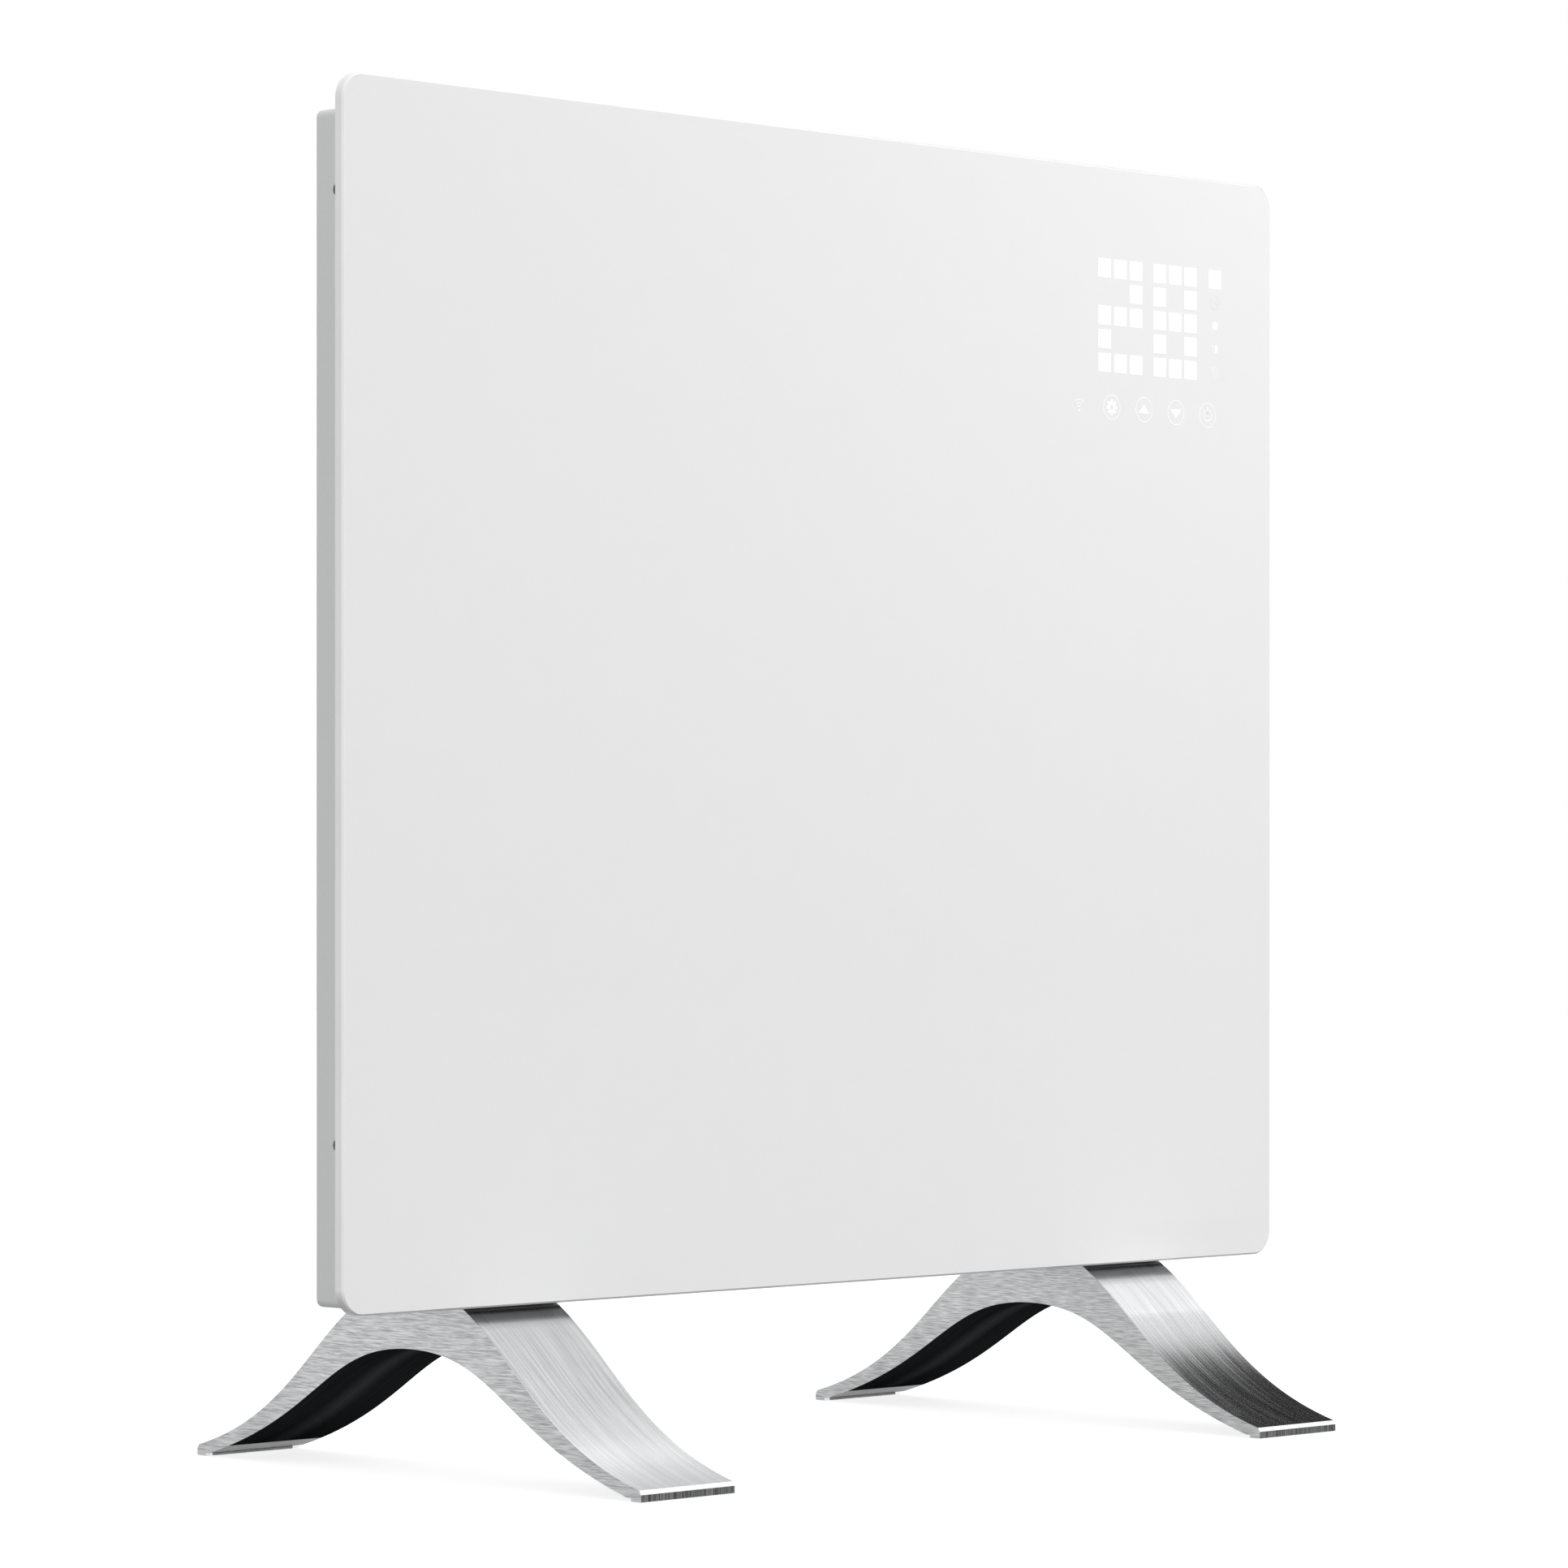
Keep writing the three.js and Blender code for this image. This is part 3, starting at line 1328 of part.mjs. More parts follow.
function addLeads() {
  const rodEnd = elementLength / 2 + rodReach;
  const leftEnd = elementCentreX - rodEnd;
  const rightEnd = elementCentreX + rodEnd;
  const cutoutY = seatFrontY + cutoutDepth + cutoutTabLength / 2;
  const tabReach = (cutoutTabSpacing + cutoutTabThickness) / 2 + touchGap;
  const caseEdge = caseCentreX - caseWidth / 2;
  const boardTop = seatFrontY + onPowerBoardY;
  const sleeve = (name, points) => place(name, wire(points, leadRadius, leadSteps), redSleeve);

  sleeve("rod_to_cutout_lead", [
    [leftEnd, middleY, elementZ],
    [leftEnd - leadBend, middleY, elementZ],
    [leftEnd - 2 * leadBend, middleY, elementZ + 1.5 * leadBend],
    [leftEnd - 1.5 * leadBend, middleY, elementZ + leadRise],
    [leftEnd + 3 * leadBend, middleY, cutoutZ - 3 * leadBend],
    [leftEnd + 12 * leadBend, cutoutY, cutoutZ],
    [elementCentreX - tabReach - 1.5 * leadBend, cutoutY, cutoutZ],
    [elementCentreX - tabReach, cutoutY, cutoutZ],
  ]);

  const cutoutLandingX = caseEdge + cutoutLeadFromEdge;
  const cutoutLandingZ = caseBottom + cutoutLeadFromBottom;
  sleeve("cutout_to_board_lead", [
    [elementCentreX + tabReach, cutoutY, cutoutZ],
    [elementCentreX + tabReach + 2 * leadBend, cutoutY, cutoutZ],
    [(elementCentreX + partitionX) / 2, middleY, cutoutZ + leadBend],
    [partitionX - 2 * leadBend, middleY, cutoutZ],
    [partitionX + 2 * leadBend, middleY, cutoutZ],
    [caseEdge + leadBend, middleY, (cutoutZ + cutoutLandingZ) / 2],
    [cutoutLandingX, boardTop + 2 * leadBend, cutoutLandingZ],
    [cutoutLandingX, boardTop, cutoutLandingZ],
  ]);

  const rodLandingX = caseEdge + rodLeadFromEdge;
  const rodLandingZ = caseBottom + rodLeadFromBottom;
  sleeve("rod_to_board_lead", [
    [rightEnd, middleY, elementZ],
    [rightEnd + leadBend, middleY, elementZ],
    [partitionX + leadBend, middleY, elementZ],
    [partitionX + 3.5 * leadBend, middleY, elementZ + 3 * leadBend],
    [partitionX + 5 * leadBend, middleY, elementZ + 1.5 * leadRise],
    [rodLandingX - 2 * leadBend, middleY, caseBottom - 1.5 * leadBend],
    [rodLandingX, boardTop + 2 * leadBend, rodLandingZ],
    [rodLandingX, boardTop, rodLandingZ],
  ]);
}

addGlass();
addFeet();
addTray();
addRearCover();
addSideScrews();
addOutletGrille();
addElement();
addThermalCutout();
addPartition();
addDisplay();
addPowerCase();
addTerminalBlock();
addGland();
addRoomSensor();
addRibbon();
addMainsSwitch();
addTiltSwitch();
addLeads();

export default heater;
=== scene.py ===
"""A slim convector heater with a white glass front on two arched aluminium feet.

The frame carries every solid part at its real size and place. This file gives each of them its
finish, builds the pieces whose surfaces need finer meshes than the frame has, and sets the stage.
Lengths are metres, +Z is up, and the glass faces -Y.
"""

import json
import math

import bmesh
import bpy
from bpy.props import FloatProperty, FloatVectorProperty, IntProperty, PointerProperty
from mathutils import Matrix, Vector


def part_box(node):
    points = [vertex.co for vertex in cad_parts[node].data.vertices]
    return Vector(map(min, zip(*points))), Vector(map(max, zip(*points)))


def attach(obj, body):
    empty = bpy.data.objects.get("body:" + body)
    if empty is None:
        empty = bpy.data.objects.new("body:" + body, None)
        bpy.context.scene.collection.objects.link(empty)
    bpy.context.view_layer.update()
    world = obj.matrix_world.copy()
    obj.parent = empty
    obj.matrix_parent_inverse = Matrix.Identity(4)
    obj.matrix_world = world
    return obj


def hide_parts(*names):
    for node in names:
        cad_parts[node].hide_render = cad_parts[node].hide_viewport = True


bl_info = {
    "name": "Glass panel heater",
    "version": (1, 0, 0),
    "blender": (4, 5, 0),
    "location": "View3D > Sidebar > Heater",
    "description": "Dresses the heater's frame in its finishes, and lights it",
    "category": "Object",
}

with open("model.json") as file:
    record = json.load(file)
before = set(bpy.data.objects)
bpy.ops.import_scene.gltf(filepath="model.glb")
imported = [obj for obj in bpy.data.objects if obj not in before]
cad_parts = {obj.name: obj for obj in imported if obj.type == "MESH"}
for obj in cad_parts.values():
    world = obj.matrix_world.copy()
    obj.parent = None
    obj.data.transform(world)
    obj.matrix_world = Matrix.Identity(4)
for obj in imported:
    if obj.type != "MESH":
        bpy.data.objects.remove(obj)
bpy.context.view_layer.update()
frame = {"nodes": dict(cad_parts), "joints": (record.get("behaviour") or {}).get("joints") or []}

MM = 0.001
SIDES = ("left", "right")
# Angles between faces: flat ones are joined, round ones shaded smooth, and edges rounded off.
FLAT_BELOW = math.radians(0.3)
SMOOTH_BELOW = math.radians(35)
ROUND_ABOVE = math.radians(40)
SHARP_ABOVE = math.radians(60)
glass_low, glass_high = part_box("glass_panel")
foot_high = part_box("right_foot")[1]

# Outline axes to the object's: drawn in the side view, and in the front view.
DRAWN_IN_YZ = Matrix(((0, 0, 1, 0), (1, 0, 0, 0), (0, 1, 0, 0), (0, 0, 0, 1)))
DRAWN_IN_XZ = Matrix(((1, 0, 0, 0), (0, 0, -1, 0), (0, 1, 0, 0), (0, 0, 0, 1)))

# A face's finish goes by its normal's part along an axis: near 1 it looks that way.
FACING = 0.95
HALFWAY = 0.7
LEANING = 0.2
HARDLY = 0.1


# ---------------------------------------------------------------- sizes and colours


def level(name, description, default, **kind):
    return FloatProperty(name=name, description=description, default=default, min=0, **kind)


def length(name, description, default):
    return level(name, description, default, unit="LENGTH")


def share(name, description, default):
    return level(name, description, default, max=1, subtype="FACTOR")


def colour(name, description, default):
    return FloatVectorProperty(
        name=name, description=description, default=default, size=3, min=0, max=1, subtype="COLOR"
    )


class GlassSettings(bpy.types.PropertyGroup):
    corner: length("Corner radius", "Radius of the plate's four corners", 10 * MM)
    arris: length("Arris", "Width of the flat ground along every edge", 0.75 * MM)
    print_colour: colour("Print", "Colour of the enamel behind the glass", (0.90, 0.90, 0.90))
    edge_colour: colour("Edge", "Colour of the ground edge", (0.90, 0.905, 0.90))
    gloss: share("Roughness", "Roughness of the polished front", 0.18)


class FeetSettings(bpy.types.PropertyGroup):
    seat: length("Seat", "Depth of the flat top that carries the body", 58 * MM)
    arch: length("Arch", "Height of the arch over the floor", 49 * MM)
    toe: length("Toe", "Height of the toe's top", 4.3 * MM)
    toe_bevel: length("Toe bevel", "Height of the bright bevel along the toe's top edge", 1.6 * MM)
    recess: length("Recess", "Sole above the floor", 1.2 * MM)
    sole: length("Sole", "Depth of the flat sole under a toe", 7.3 * MM)
    nub_length: length("Nub length", "Depth of the small nubs at the toe's corners", 5.3 * MM)
    nub_width: length("Nub width", "Width of the nubs at the toe's corners", 3.4 * MM)
    lip: length("Lip", "Thickness of the front toe's lip, which hides its pad", 0.6 * MM)
    ground: length("Ground", "Depth of the bright strip under a toe", 19 * MM)
    edge: length("Edge", "Width of the broken edges", 0.7 * MM)
    # Painted light: the legs' upper faces are a lighter copy of the sides' metal, and the near
    # black undersides stand in for the shade under the arches.
    side_colour: colour("Sides", "Colour of the brushed side faces", (0.49, 0.495, 0.5))
    leg_colour: colour("Legs", "Colour of the brushed upper faces", (0.78, 0.785, 0.795))
    arch_colour: colour("Arches", "Colour of the dark undersides", (0.038, 0.041, 0.043))


class DisplaySettings(bpy.types.PropertyGroup):
    temperature: IntProperty(
        name="Temperature", description="Number shown", default=28, min=10, max=99
    )
    cell: length("Cell", "Side of one square light", 8.0 * MM)
    pitch: length("Cell pitch", "From one square light to the next", 9.9 * MM)
    digit_pitch: length("Digit pitch", "From one digit to the next", 34.9 * MM)
    digits_up: length("Digits up", "From the keys up to the middle of the digits", 38.4 * MM)
    digits_in: length("Digits in", "From the signs to the middle of the digits", 43.2 * MM)
    signs_out: length("Signs out", "From the last key to the column of signs", 4.9 * MM)
    key_radius: length("Key radius", "Middle of a key's ring", 5.15 * MM)
    line: length("Line", "Width of the rings and strokes", 0.5 * MM)
    brightness: level("Brightness", "Strength of the lights", 0.1)


class BodySettings(bpy.types.PropertyGroup):
    paint: colour("Paint", "Colour of the powder coat", (0.70, 0.705, 0.71))
    moulded: colour("Black plastic", "Colour of the dark mouldings", (0.022, 0.022, 0.024))
    bright_plastic: colour("White plastic", "Colour of the pale mouldings", (0.80, 0.80, 0.78))
    zinc: colour("Zinc", "Colour of the plated steel", (0.55, 0.56, 0.57))


class StageSettings(bpy.types.PropertyGroup):
    lens: FloatProperty(
        name="Lens", description="Focal length in millimetres", default=136.2, min=1
    )
    world: level("World", "Level of the light from all round", 0.95)
    key: level("Key lamp", "Power of the lamp above the display", 0.95)
    fill: level("Fill lamp", "Power of the broad lamp in front", 20)


# ---------------------------------------------------------------- materials


class Wire:
    """An output of a node, with the arithmetic that patterns are written in."""

    def __init__(self, nodes, socket):
        self.nodes = nodes
        self.socket = socket

    def maths(self, operation, other=0.0):
        return self.nodes.node("ShaderNodeMath", {"operation": operation}, {0: self, 1: other})

    def __add__(self, other):
        return self.maths("ADD", other)

    __radd__ = __add__

    def __sub__(self, other):
        return self.maths("SUBTRACT", other)

    def __rsub__(self, other):
        return self * -1 + other

    def __mul__(self, other):
        return self.maths("MULTIPLY", other)

    __rmul__ = __mul__


SOCKET_LABELS = {"ior": "IOR", "specular": "Specular IOR Level"}


class Nodes:
    """The nodes of a material, or of the world."""

    def __init__(self, owner, shader):
        owner.use_nodes = True
        self.tree = owner.node_tree
        self.shader = self.tree.nodes[shader]

    def node(self, kind, settings, sockets, output=0):
        """Adds a node: its settings come first, then a value or a wire for each socket."""
        made = self.tree.nodes.new(kind)
        for name, value in settings.items():
            setattr(made, name, value)
        for name, value in sockets.items():
            self.plug(made.inputs[name], value)
        return Wire(self, made.outputs[output])

    def plug(self, socket, value):
        if isinstance(value, Wire):
            self.tree.links.new(value.socket, socket)
        elif hasattr(value, "__len__") and socket.type == "RGBA":
            socket.default_value = (*value[:3], 1)
        else:
            socket.default_value = value

    def show(self, seen, output):
        """Ends in a shader for the camera, metal and glass, and in the plain one for the rest."""
        camera, glossy, transmission = (
            self.node("ShaderNodeLightPath", {}, {}, f"Is {ray} Ray")
            for ray in ("Camera", "Glossy", "Transmission")
        )
        factor = camera.maths("MAXIMUM", glossy).maths("MAXIMUM", transmission)
        plain = Wire(self, self.shader.outputs[0])
        choice = self.node("ShaderNodeMixShader", {}, {0: factor, 1: plain, 2: seen})
        self.plug(self.tree.nodes[output].inputs["Surface"], choice)


class Paint(Nodes):
    """A material in the making."""

    def __init__(self, name, **sockets):
        self.material = bpy.data.materials.new(name)
        super().__init__(self.material, "Principled BSDF")
        self.set(**sockets)

    def set(self, **sockets):
        """Sets the shader's sockets, such as base_color or coat_weight, to values or wires."""
        for name, value in sockets.items():
            label = SOCKET_LABELS.get(name, name.replace("_", " ").title())
            self.plug(self.shader.inputs[label], value)
        return self.material

    def spot(self, per_metre=(1, 1, 1), turned=(0, 0, 0)):
        """The place on the object, stretched so that each axis has its own frequency."""
        place = self.node("ShaderNodeTexCoord", {}, {}, "Object")
        return self.node(
            "ShaderNodeMapping", {}, {"Vector": place, "Rotation": turned, "Scale": per_metre}
        )

    def noise(self, per_metre, detail, distortion=0.0):
        sockets = {"Vector": self.spot(per_metre), "Scale": 1.0}
        return self.node(
            "ShaderNodeTexNoise", {}, {**sockets, "Detail": detail, "Distortion": distortion}
        )

    def clouds(self, size, detail=2.0):
        """Noise with spots of this size."""
        return self.noise(even(size), detail)

    def cells(self, size):
        """Small grains or pores of this size, each darkest in its middle."""
        sockets = {"Vector": self.spot(even(size)), "Scale": 1.0}
        return self.node("ShaderNodeTexVoronoi", {"feature": "F1"}, sockets)

    def bands(self, way, vector, per_metre, distortion):
        """Soft parallel bands along X or Z."""
        settings = {"wave_type": "BANDS", "bands_direction": way}
        sockets = {"Vector": vector, "Scale": per_metre, "Distortion": distortion}
        return self.node("ShaderNodeTexWave", settings, sockets)

    def spread(self, value, low, high):
        """Stretches the middle of a pattern over 0 to 1."""
        return self.node(
            "ShaderNodeMapRange", {}, {"Value": value, "From Min": low, "From Max": high}
        )

    def shades(self, factor, shade, dark, light):
        """From a darker to a lighter tint of a shade."""
        return self.blend(factor, tint(shade, dark), tint(shade, light))

    def blend(self, factor, first, second):
        sockets = {0: factor, 6: first, 7: second}
        return self.node("ShaderNodeMix", {"data_type": "RGBA"}, sockets, 2)

    def along(self, axis):
        """The place on the object along one axis."""
        return self.node("ShaderNodeSeparateXYZ", {}, {"Vector": self.spot()}, axis)

    def strokes(self, per_metre, wave=0.0):
        """Long fine scratches; the lowest frequency is the direction of the brush."""
        fine = self.noise(per_metre, detail=4, distortion=wave)
        broad_per_metre = tuple(frequency * 0.27 for frequency in per_metre)
        broad = self.noise(broad_per_metre, detail=2, distortion=wave)
        return self.spread(fine * 0.92 + broad * 0.08, 0.33, 0.67)

    def bump(self, height, depth, strength):
        return self.node(
            "ShaderNodeBump", {}, {"Height": height, "Distance": depth, "Strength": strength}
        )


def tint(shade, factor):
    return tuple(min(1.0, channel * factor) for channel in shade)


def even(size):
    """The same frequency along every axis, for a grain of this size."""
    return (1 / size,) * 3


def back_printed_glass(name, shade, roughness):
    """White enamel under clear polished glass, with the faint clouding of a screen print."""
    paint = Paint(name, roughness=roughness, ior=1.52, coat_weight=0.3, coat_roughness=0.03)
    factor = paint.spread(paint.clouds(14 * MM, 4) * 0.6 + paint.clouds(2.5 * MM) * 0.4, 0.35, 0.65)
    return paint.set(base_color=paint.shades(factor, shade, 0.996, 1.004))


def ground_glass(name, shade, roughness, lowest=0.0, darkest=0.5):
    """A pane's polished edge, with faint grinding lines; painted shade darkens it round its lowest
    corners.
    """
    paint = Paint(name, roughness=roughness, ior=1.52, coat_weight=0.4, coat_roughness=0.08)
    paint.set(normal=paint.bump(paint.noise((400, 3000, 400), detail=1), 0.01 * MM, 0.3))
    plain = paint.shades(paint.spread(paint.clouds(40 * MM), 0.3, 0.7), shade, 0.97, 1.02)
    # Painted shade: the colour darkens over the last 10 mm above the lowest point.
    under = paint.spread(paint.along("Z"), lowest + 10 * MM, lowest)
    return paint.set(base_color=paint.blend(under, plain, tint(shade, darkest)))


def powder_coat(name, shade):
    """Fine-textured powder coat with the low swell of orange peel."""
    paint = Paint(name, ior=1.5)
    peel = paint.clouds(1.6 * MM)
    grain = paint.clouds(0.35 * MM)
    factor = paint.spread(peel * 0.4 + grain * 0.6, 0.3, 0.7)
    paint.set(normal=paint.bump(peel + grain * 0.5, 0.05 * MM, 0.35))
    paint.set(roughness=0.4 + factor * 0.1)
    return paint.set(base_color=paint.shades(factor, shade, 0.97, 1.02))


def brushed_metal(name, shade, per_metre, contrast, roughness):
    """Metal brushed in one direction."""
    paint = Paint(name, metallic=1.0)
    strokes = paint.strokes(per_metre)
    paint.set(base_color=paint.shades(strokes, shade, 1 - contrast, 1 + contrast))
    paint.set(roughness=roughness - 0.06 + strokes * 0.12)
    return paint.set(normal=paint.bump(strokes, 0.02 * MM, 0.35))


def foot_metal(name, shade, painted_low_shade, arch, per_metre, contrast, roughness, wave, under=1.0):
    """Brushed metal with painted light: another shade low down, and painted shade close under the
    glass.
    """
    paint = Paint(name, metallic=1.0)
    strokes = paint.strokes(per_metre, wave)
    # Painted light: a second shade takes over low down, lighter on the left leg and darker on the
    # sides.
    low = paint.spread(paint.along("Z"), 0.9 * arch, 0.25 * arch)
    # Painted shade: a darker band close under the glass.
    high = paint.spread(paint.along("Z"), glass_low.z - 8.5 * MM, glass_low.z - 5.5 * MM)
    upper, painted_light, shaded = (
        paint.shades(strokes, each, 1 - contrast, 1 + contrast)
        for each in (shade, painted_low_shade, tint(shade, under))
    )
    paint.set(base_color=paint.blend(high, paint.blend(low, upper, painted_light), shaded))
    paint.set(roughness=roughness + strokes * 0.1)
    return paint.set(normal=paint.bump(strokes, 0.02 * MM, 0.35))


def painted_shade_underside(name, shade, middle_x):
    """Satin near black, a painted shade under the arch, with a painted sheen paler along the middle
    of the arch.
    """
    paint = Paint(name, specular=0.0)
    lines = paint.noise((900, 16, 16), detail=3)
    off_middle = (paint.along("X") - middle_x).maths("ABSOLUTE")
    # Painted sheen: a paler stripe along the middle of the arch.
    painted_light = paint.spread(off_middle + lines * 0.006, 11 * MM, 3 * MM)
    plain = paint.shades(lines, shade, 0.4, 1.4)
    paint.set(base_color=paint.blend(painted_light, plain, tint(shade, 2.6)))
    return paint.set(roughness=0.38 + lines * 0.2, normal=paint.bump(lines, 0.02 * MM, 0.4))


def plated_steel(name, shade):
    """Passivated zinc: clouded, with a fine crystalline grain."""
    paint = Paint(name, metallic=1.0)
    grain = paint.cells(0.9 * MM)
    factor = paint.spread(paint.clouds(7 * MM, 3) * 0.6 + grain * 0.4, 0.25, 0.75)
    paint.set(base_color=paint.shades(factor, shade, 0.86, 1.08))
    return paint.set(roughness=0.3 + factor * 0.16, normal=paint.bump(grain, 0.01 * MM, 0.3))


def moulded_plastic(name, shade, roughness=0.42, grain_size=0.5 * MM):
    """Spark-eroded mould texture: an even fine grain."""
    paint = Paint(name, ior=1.47)
    grain = paint.clouds(grain_size, 3)
    factor = paint.spread(grain * 0.5 + paint.clouds(12 * MM, 1) * 0.5, 0.3, 0.7)
    paint.set(base_color=paint.shades(factor, shade, 0.93, 1.07))
    return paint.set(roughness=roughness + factor * 0.1, normal=paint.bump(grain, 0.03 * MM, 0.35))


def foam_tape(name, shade):
    """Closed-cell foam with open pores along its cut edge."""
    paint = Paint(name, roughness=0.85, ior=1.4)
    cells = paint.cells(0.6 * MM)
    paint.set(base_color=paint.shades(paint.spread(cells, 0.1, 0.7), shade, 1.3, 0.7))
    return paint.set(normal=paint.bump(cells, 0.15 * MM, 0.6))


def soft_rubber(name, shade):
    """Dull fine-grained rubber with a little dust."""
    paint = Paint(name, roughness=0.55, ior=1.5)
    dust = paint.spread(paint.clouds(3 * MM), 0.3, 0.7)
    paint.set(base_color=paint.shades(dust, shade, 0.9, 1.04))
    return paint.set(normal=paint.bump(paint.clouds(0.3 * MM, 3), 0.02 * MM, 0.3))


def solder_mask(name, shade):
    """Green lacquer over copper tracks that run up and across the board."""
    paint = Paint(name, roughness=0.28, ior=1.5, coat_weight=0.4, coat_roughness=0.15)
    upright = paint.spot(turned=(math.pi / 2, 0, 0))
    sockets = {"Vector": upright, "Scale": 160.0, "Mortar Size": 0.06}
    tracks = paint.node("ShaderNodeTexBrick", {"offset": 0.37, "squash": 0.6}, sockets, 1)
    factor = paint.spread(tracks * 0.5 + paint.clouds(5 * MM) * 0.5, 0.1, 0.9)
    paint.set(base_color=paint.shades(factor, shade, 0.75, 1.5))
    return paint.set(normal=paint.bump(tracks, 0.05 * MM, 0.5))


def wound_wire(name, shade):
    """Enamelled winding: turns of wire side by side."""
    paint = Paint(name, metallic=0.85)
    turns = paint.bands("Z", paint.spot(), 420.0, 0.4)
    cloud = paint.clouds(4 * MM)
    paint.set(base_color=paint.shades(turns * 0.7 + cloud * 0.3, shade, 0.55, 1.15))
    return paint.set(roughness=0.3 + cloud * 0.15, normal=paint.bump(turns, 0.08 * MM, 0.6))


def woven_sleeve(name, shade):
    """Glass-fibre sleeving: two sets of crossing threads with a varnish shine."""
    paint = Paint(name, ior=1.5, roughness=0.5)
    eighth = math.radians(45)
    rising, falling = (
        paint.bands(way, paint.spot(turned=(eighth, 0, eighth)), 330.0, 0.5) for way in "XZ"
    )
    threads = rising.maths("MAXIMUM", falling)
    paint.set(base_color=paint.shades(threads, shade, 0.55, 1.2))
    return paint.set(normal=paint.bump(threads, 0.1 * MM, 0.7))


def lit_window(name, shade, strength):
    """A light behind the print, with a faint haze."""
    paint = Paint(name, roughness=0.12, ior=1.52, emission_strength=strength)
    haze = paint.spread(paint.clouds(2 * MM, 1), 0.3, 0.7)
    paint.set(base_color=paint.shades(haze, shade, 0.97, 1))
    return paint.set(emission_color=paint.shades(haze, shade, 0.9, 0.93))


# ---------------------------------------------------------------- finishing the frame's parts


def smooth_by_angle():
    """A node group that shades smooth everywhere but across edges sharper than SMOOTH_BELOW."""
    name = "smooth_by_angle"
    if name in bpy.data.node_groups:
        return bpy.data.node_groups[name]
    group = bpy.data.node_groups.new(name, "GeometryNodeTree")
    for way in ("INPUT", "OUTPUT"):
        group.interface.new_socket("Geometry", in_out=way, socket_type="NodeSocketGeometry")
    start = group.nodes.new("NodeGroupInput")
    end = group.nodes.new("NodeGroupOutput")
    angle = group.nodes.new("GeometryNodeInputMeshEdgeAngle")
    sharp = group.nodes.new("FunctionNodeCompare")
    sharp.data_type, sharp.operation = "FLOAT", "GREATER_THAN"
    sharp.inputs["B"].default_value = SMOOTH_BELOW
    faces = group.nodes.new("GeometryNodeSetShadeSmooth")
    edges = group.nodes.new("GeometryNodeSetShadeSmooth")
    faces.domain, edges.domain = "FACE", "EDGE"
    edges.inputs["Shade Smooth"].default_value = False
    group.links.new(start.outputs[0], faces.inputs["Geometry"])
    group.links.new(faces.outputs["Geometry"], edges.inputs["Geometry"])
    group.links.new(angle.outputs["Unsigned Angle"], sharp.inputs["A"])
    group.links.new(sharp.outputs["Result"], edges.inputs["Selection"])
    group.links.new(edges.outputs["Geometry"], end.inputs[0])
    return group


def soften(piece, edge):
    """Rounds the sharp edges of a part and shades its round faces smooth, without moving it."""
    weld = piece.modifiers.new("weld", "WELD")
    weld.merge_threshold = 0.005 * MM
    if edge:
        flat = piece.modifiers.new("flat faces", "DECIMATE")
        flat.decimate_type = "DISSOLVE"
        flat.angle_limit = FLAT_BELOW
        rounding = piece.modifiers.new("edges", "BEVEL")
        rounding.width = edge
        rounding.segments = 2
        rounding.limit_method = "ANGLE"
        rounding.angle_limit = ROUND_ABOVE
        rounding.miter_outer = "MITER_ARC"
    shade_smooth(piece)


def shade_smooth(piece):
    smooth = piece.modifiers.new("smooth", "NODES")
    smooth.node_group = smooth_by_angle()
    weighted = piece.modifiers.new("normals", "WEIGHTED_NORMAL")
    weighted.keep_sharp = True
    weighted.weight = 80


def frame_finish(slot):
    """The plain finish that the frame itself has for a slot."""
    return bpy.data.materials[slot]


def dress(names, material, edge=0.0):
    """Gives parts of the frame their finish, slot and edge rounding."""
    for name in names:
        part = frame["nodes"][name]
        part.data.materials.clear()
        part.data.materials.append(material)
        soften(part, edge)


# ---------------------------------------------------------------- building new pieces


def plain_object(name, data, place=(0, 0, 0)):
    made = bpy.data.objects.new(name, data)
    made.location = place
    bpy.context.scene.collection.objects.link(made)
    return made


def solid_object(name, shell, materials=(), place=(0, 0, 0)):
    """An object of a finished shell, which is used up."""
    mesh = bpy.data.meshes.new(name)
    shell.to_mesh(mesh)
    shell.free()
    for material in materials:
        mesh.materials.append(material)
    return plain_object(name, mesh, place)


def evaluated_shell(made):
    """The shell of an object as its curve or its modifiers make it."""
    bpy.context.view_layer.update()
    graph = bpy.context.evaluated_depsgraph_get()
    mesh = bpy.data.meshes.new_from_object(made.evaluated_get(graph))
    shell = bmesh.new()
    shell.from_mesh(mesh)
    bpy.data.meshes.remove(mesh)
    return shell


def shell_from(curve, placed):
    """The shell of a curve object, cleaned and put in place; the curve is removed."""
    shell = evaluated_shell(curve)
    bpy.data.curves.remove(curve.data)
    shell.transform(placed)
    bmesh.ops.remove_doubles(shell, verts=shell.verts, dist=0.001 * MM)
    bmesh.ops.recalc_face_normals(shell, faces=shell.faces)
    return shell


def plate_from(splines, thickness, placed, resolution=12):
    """A plate inside closed splines, half its thickness each side of the drawing.

    A point of a spline is its place, the handle before it and the handle after it.
    """
    data = bpy.data.curves.new("outline", "CURVE")
    data.dimensions = "2D"
    data.fill_mode = "BOTH"
    data.resolution_u = resolution
    data.extrude = thickness / 2
    for points in splines:
        spline = data.splines.new("BEZIER")
        spline.use_cyclic_u = True
        spline.bezier_points.add(len(points) - 1)
        for point, (place, before, after) in zip(spline.bezier_points, points):
            point.handle_left_type = point.handle_right_type = "FREE"
            point.co = (*place, 0)
            point.handle_left = (*before, 0)
            point.handle_right = (*after, 0)
    shell = shell_from(plain_object("outline", data), placed)
    bmesh.ops.dissolve_limit(
        shell, angle_limit=math.radians(0.05), verts=shell.verts, edges=shell.edges
    )
    return shell


ROUND_PULL = 0.5523  # a handle's length over the radius, for a quarter of a circle


def corner(x, y):
    """A point of an outline where straight lines meet."""
    return ((x, y), (x, y), (x, y))


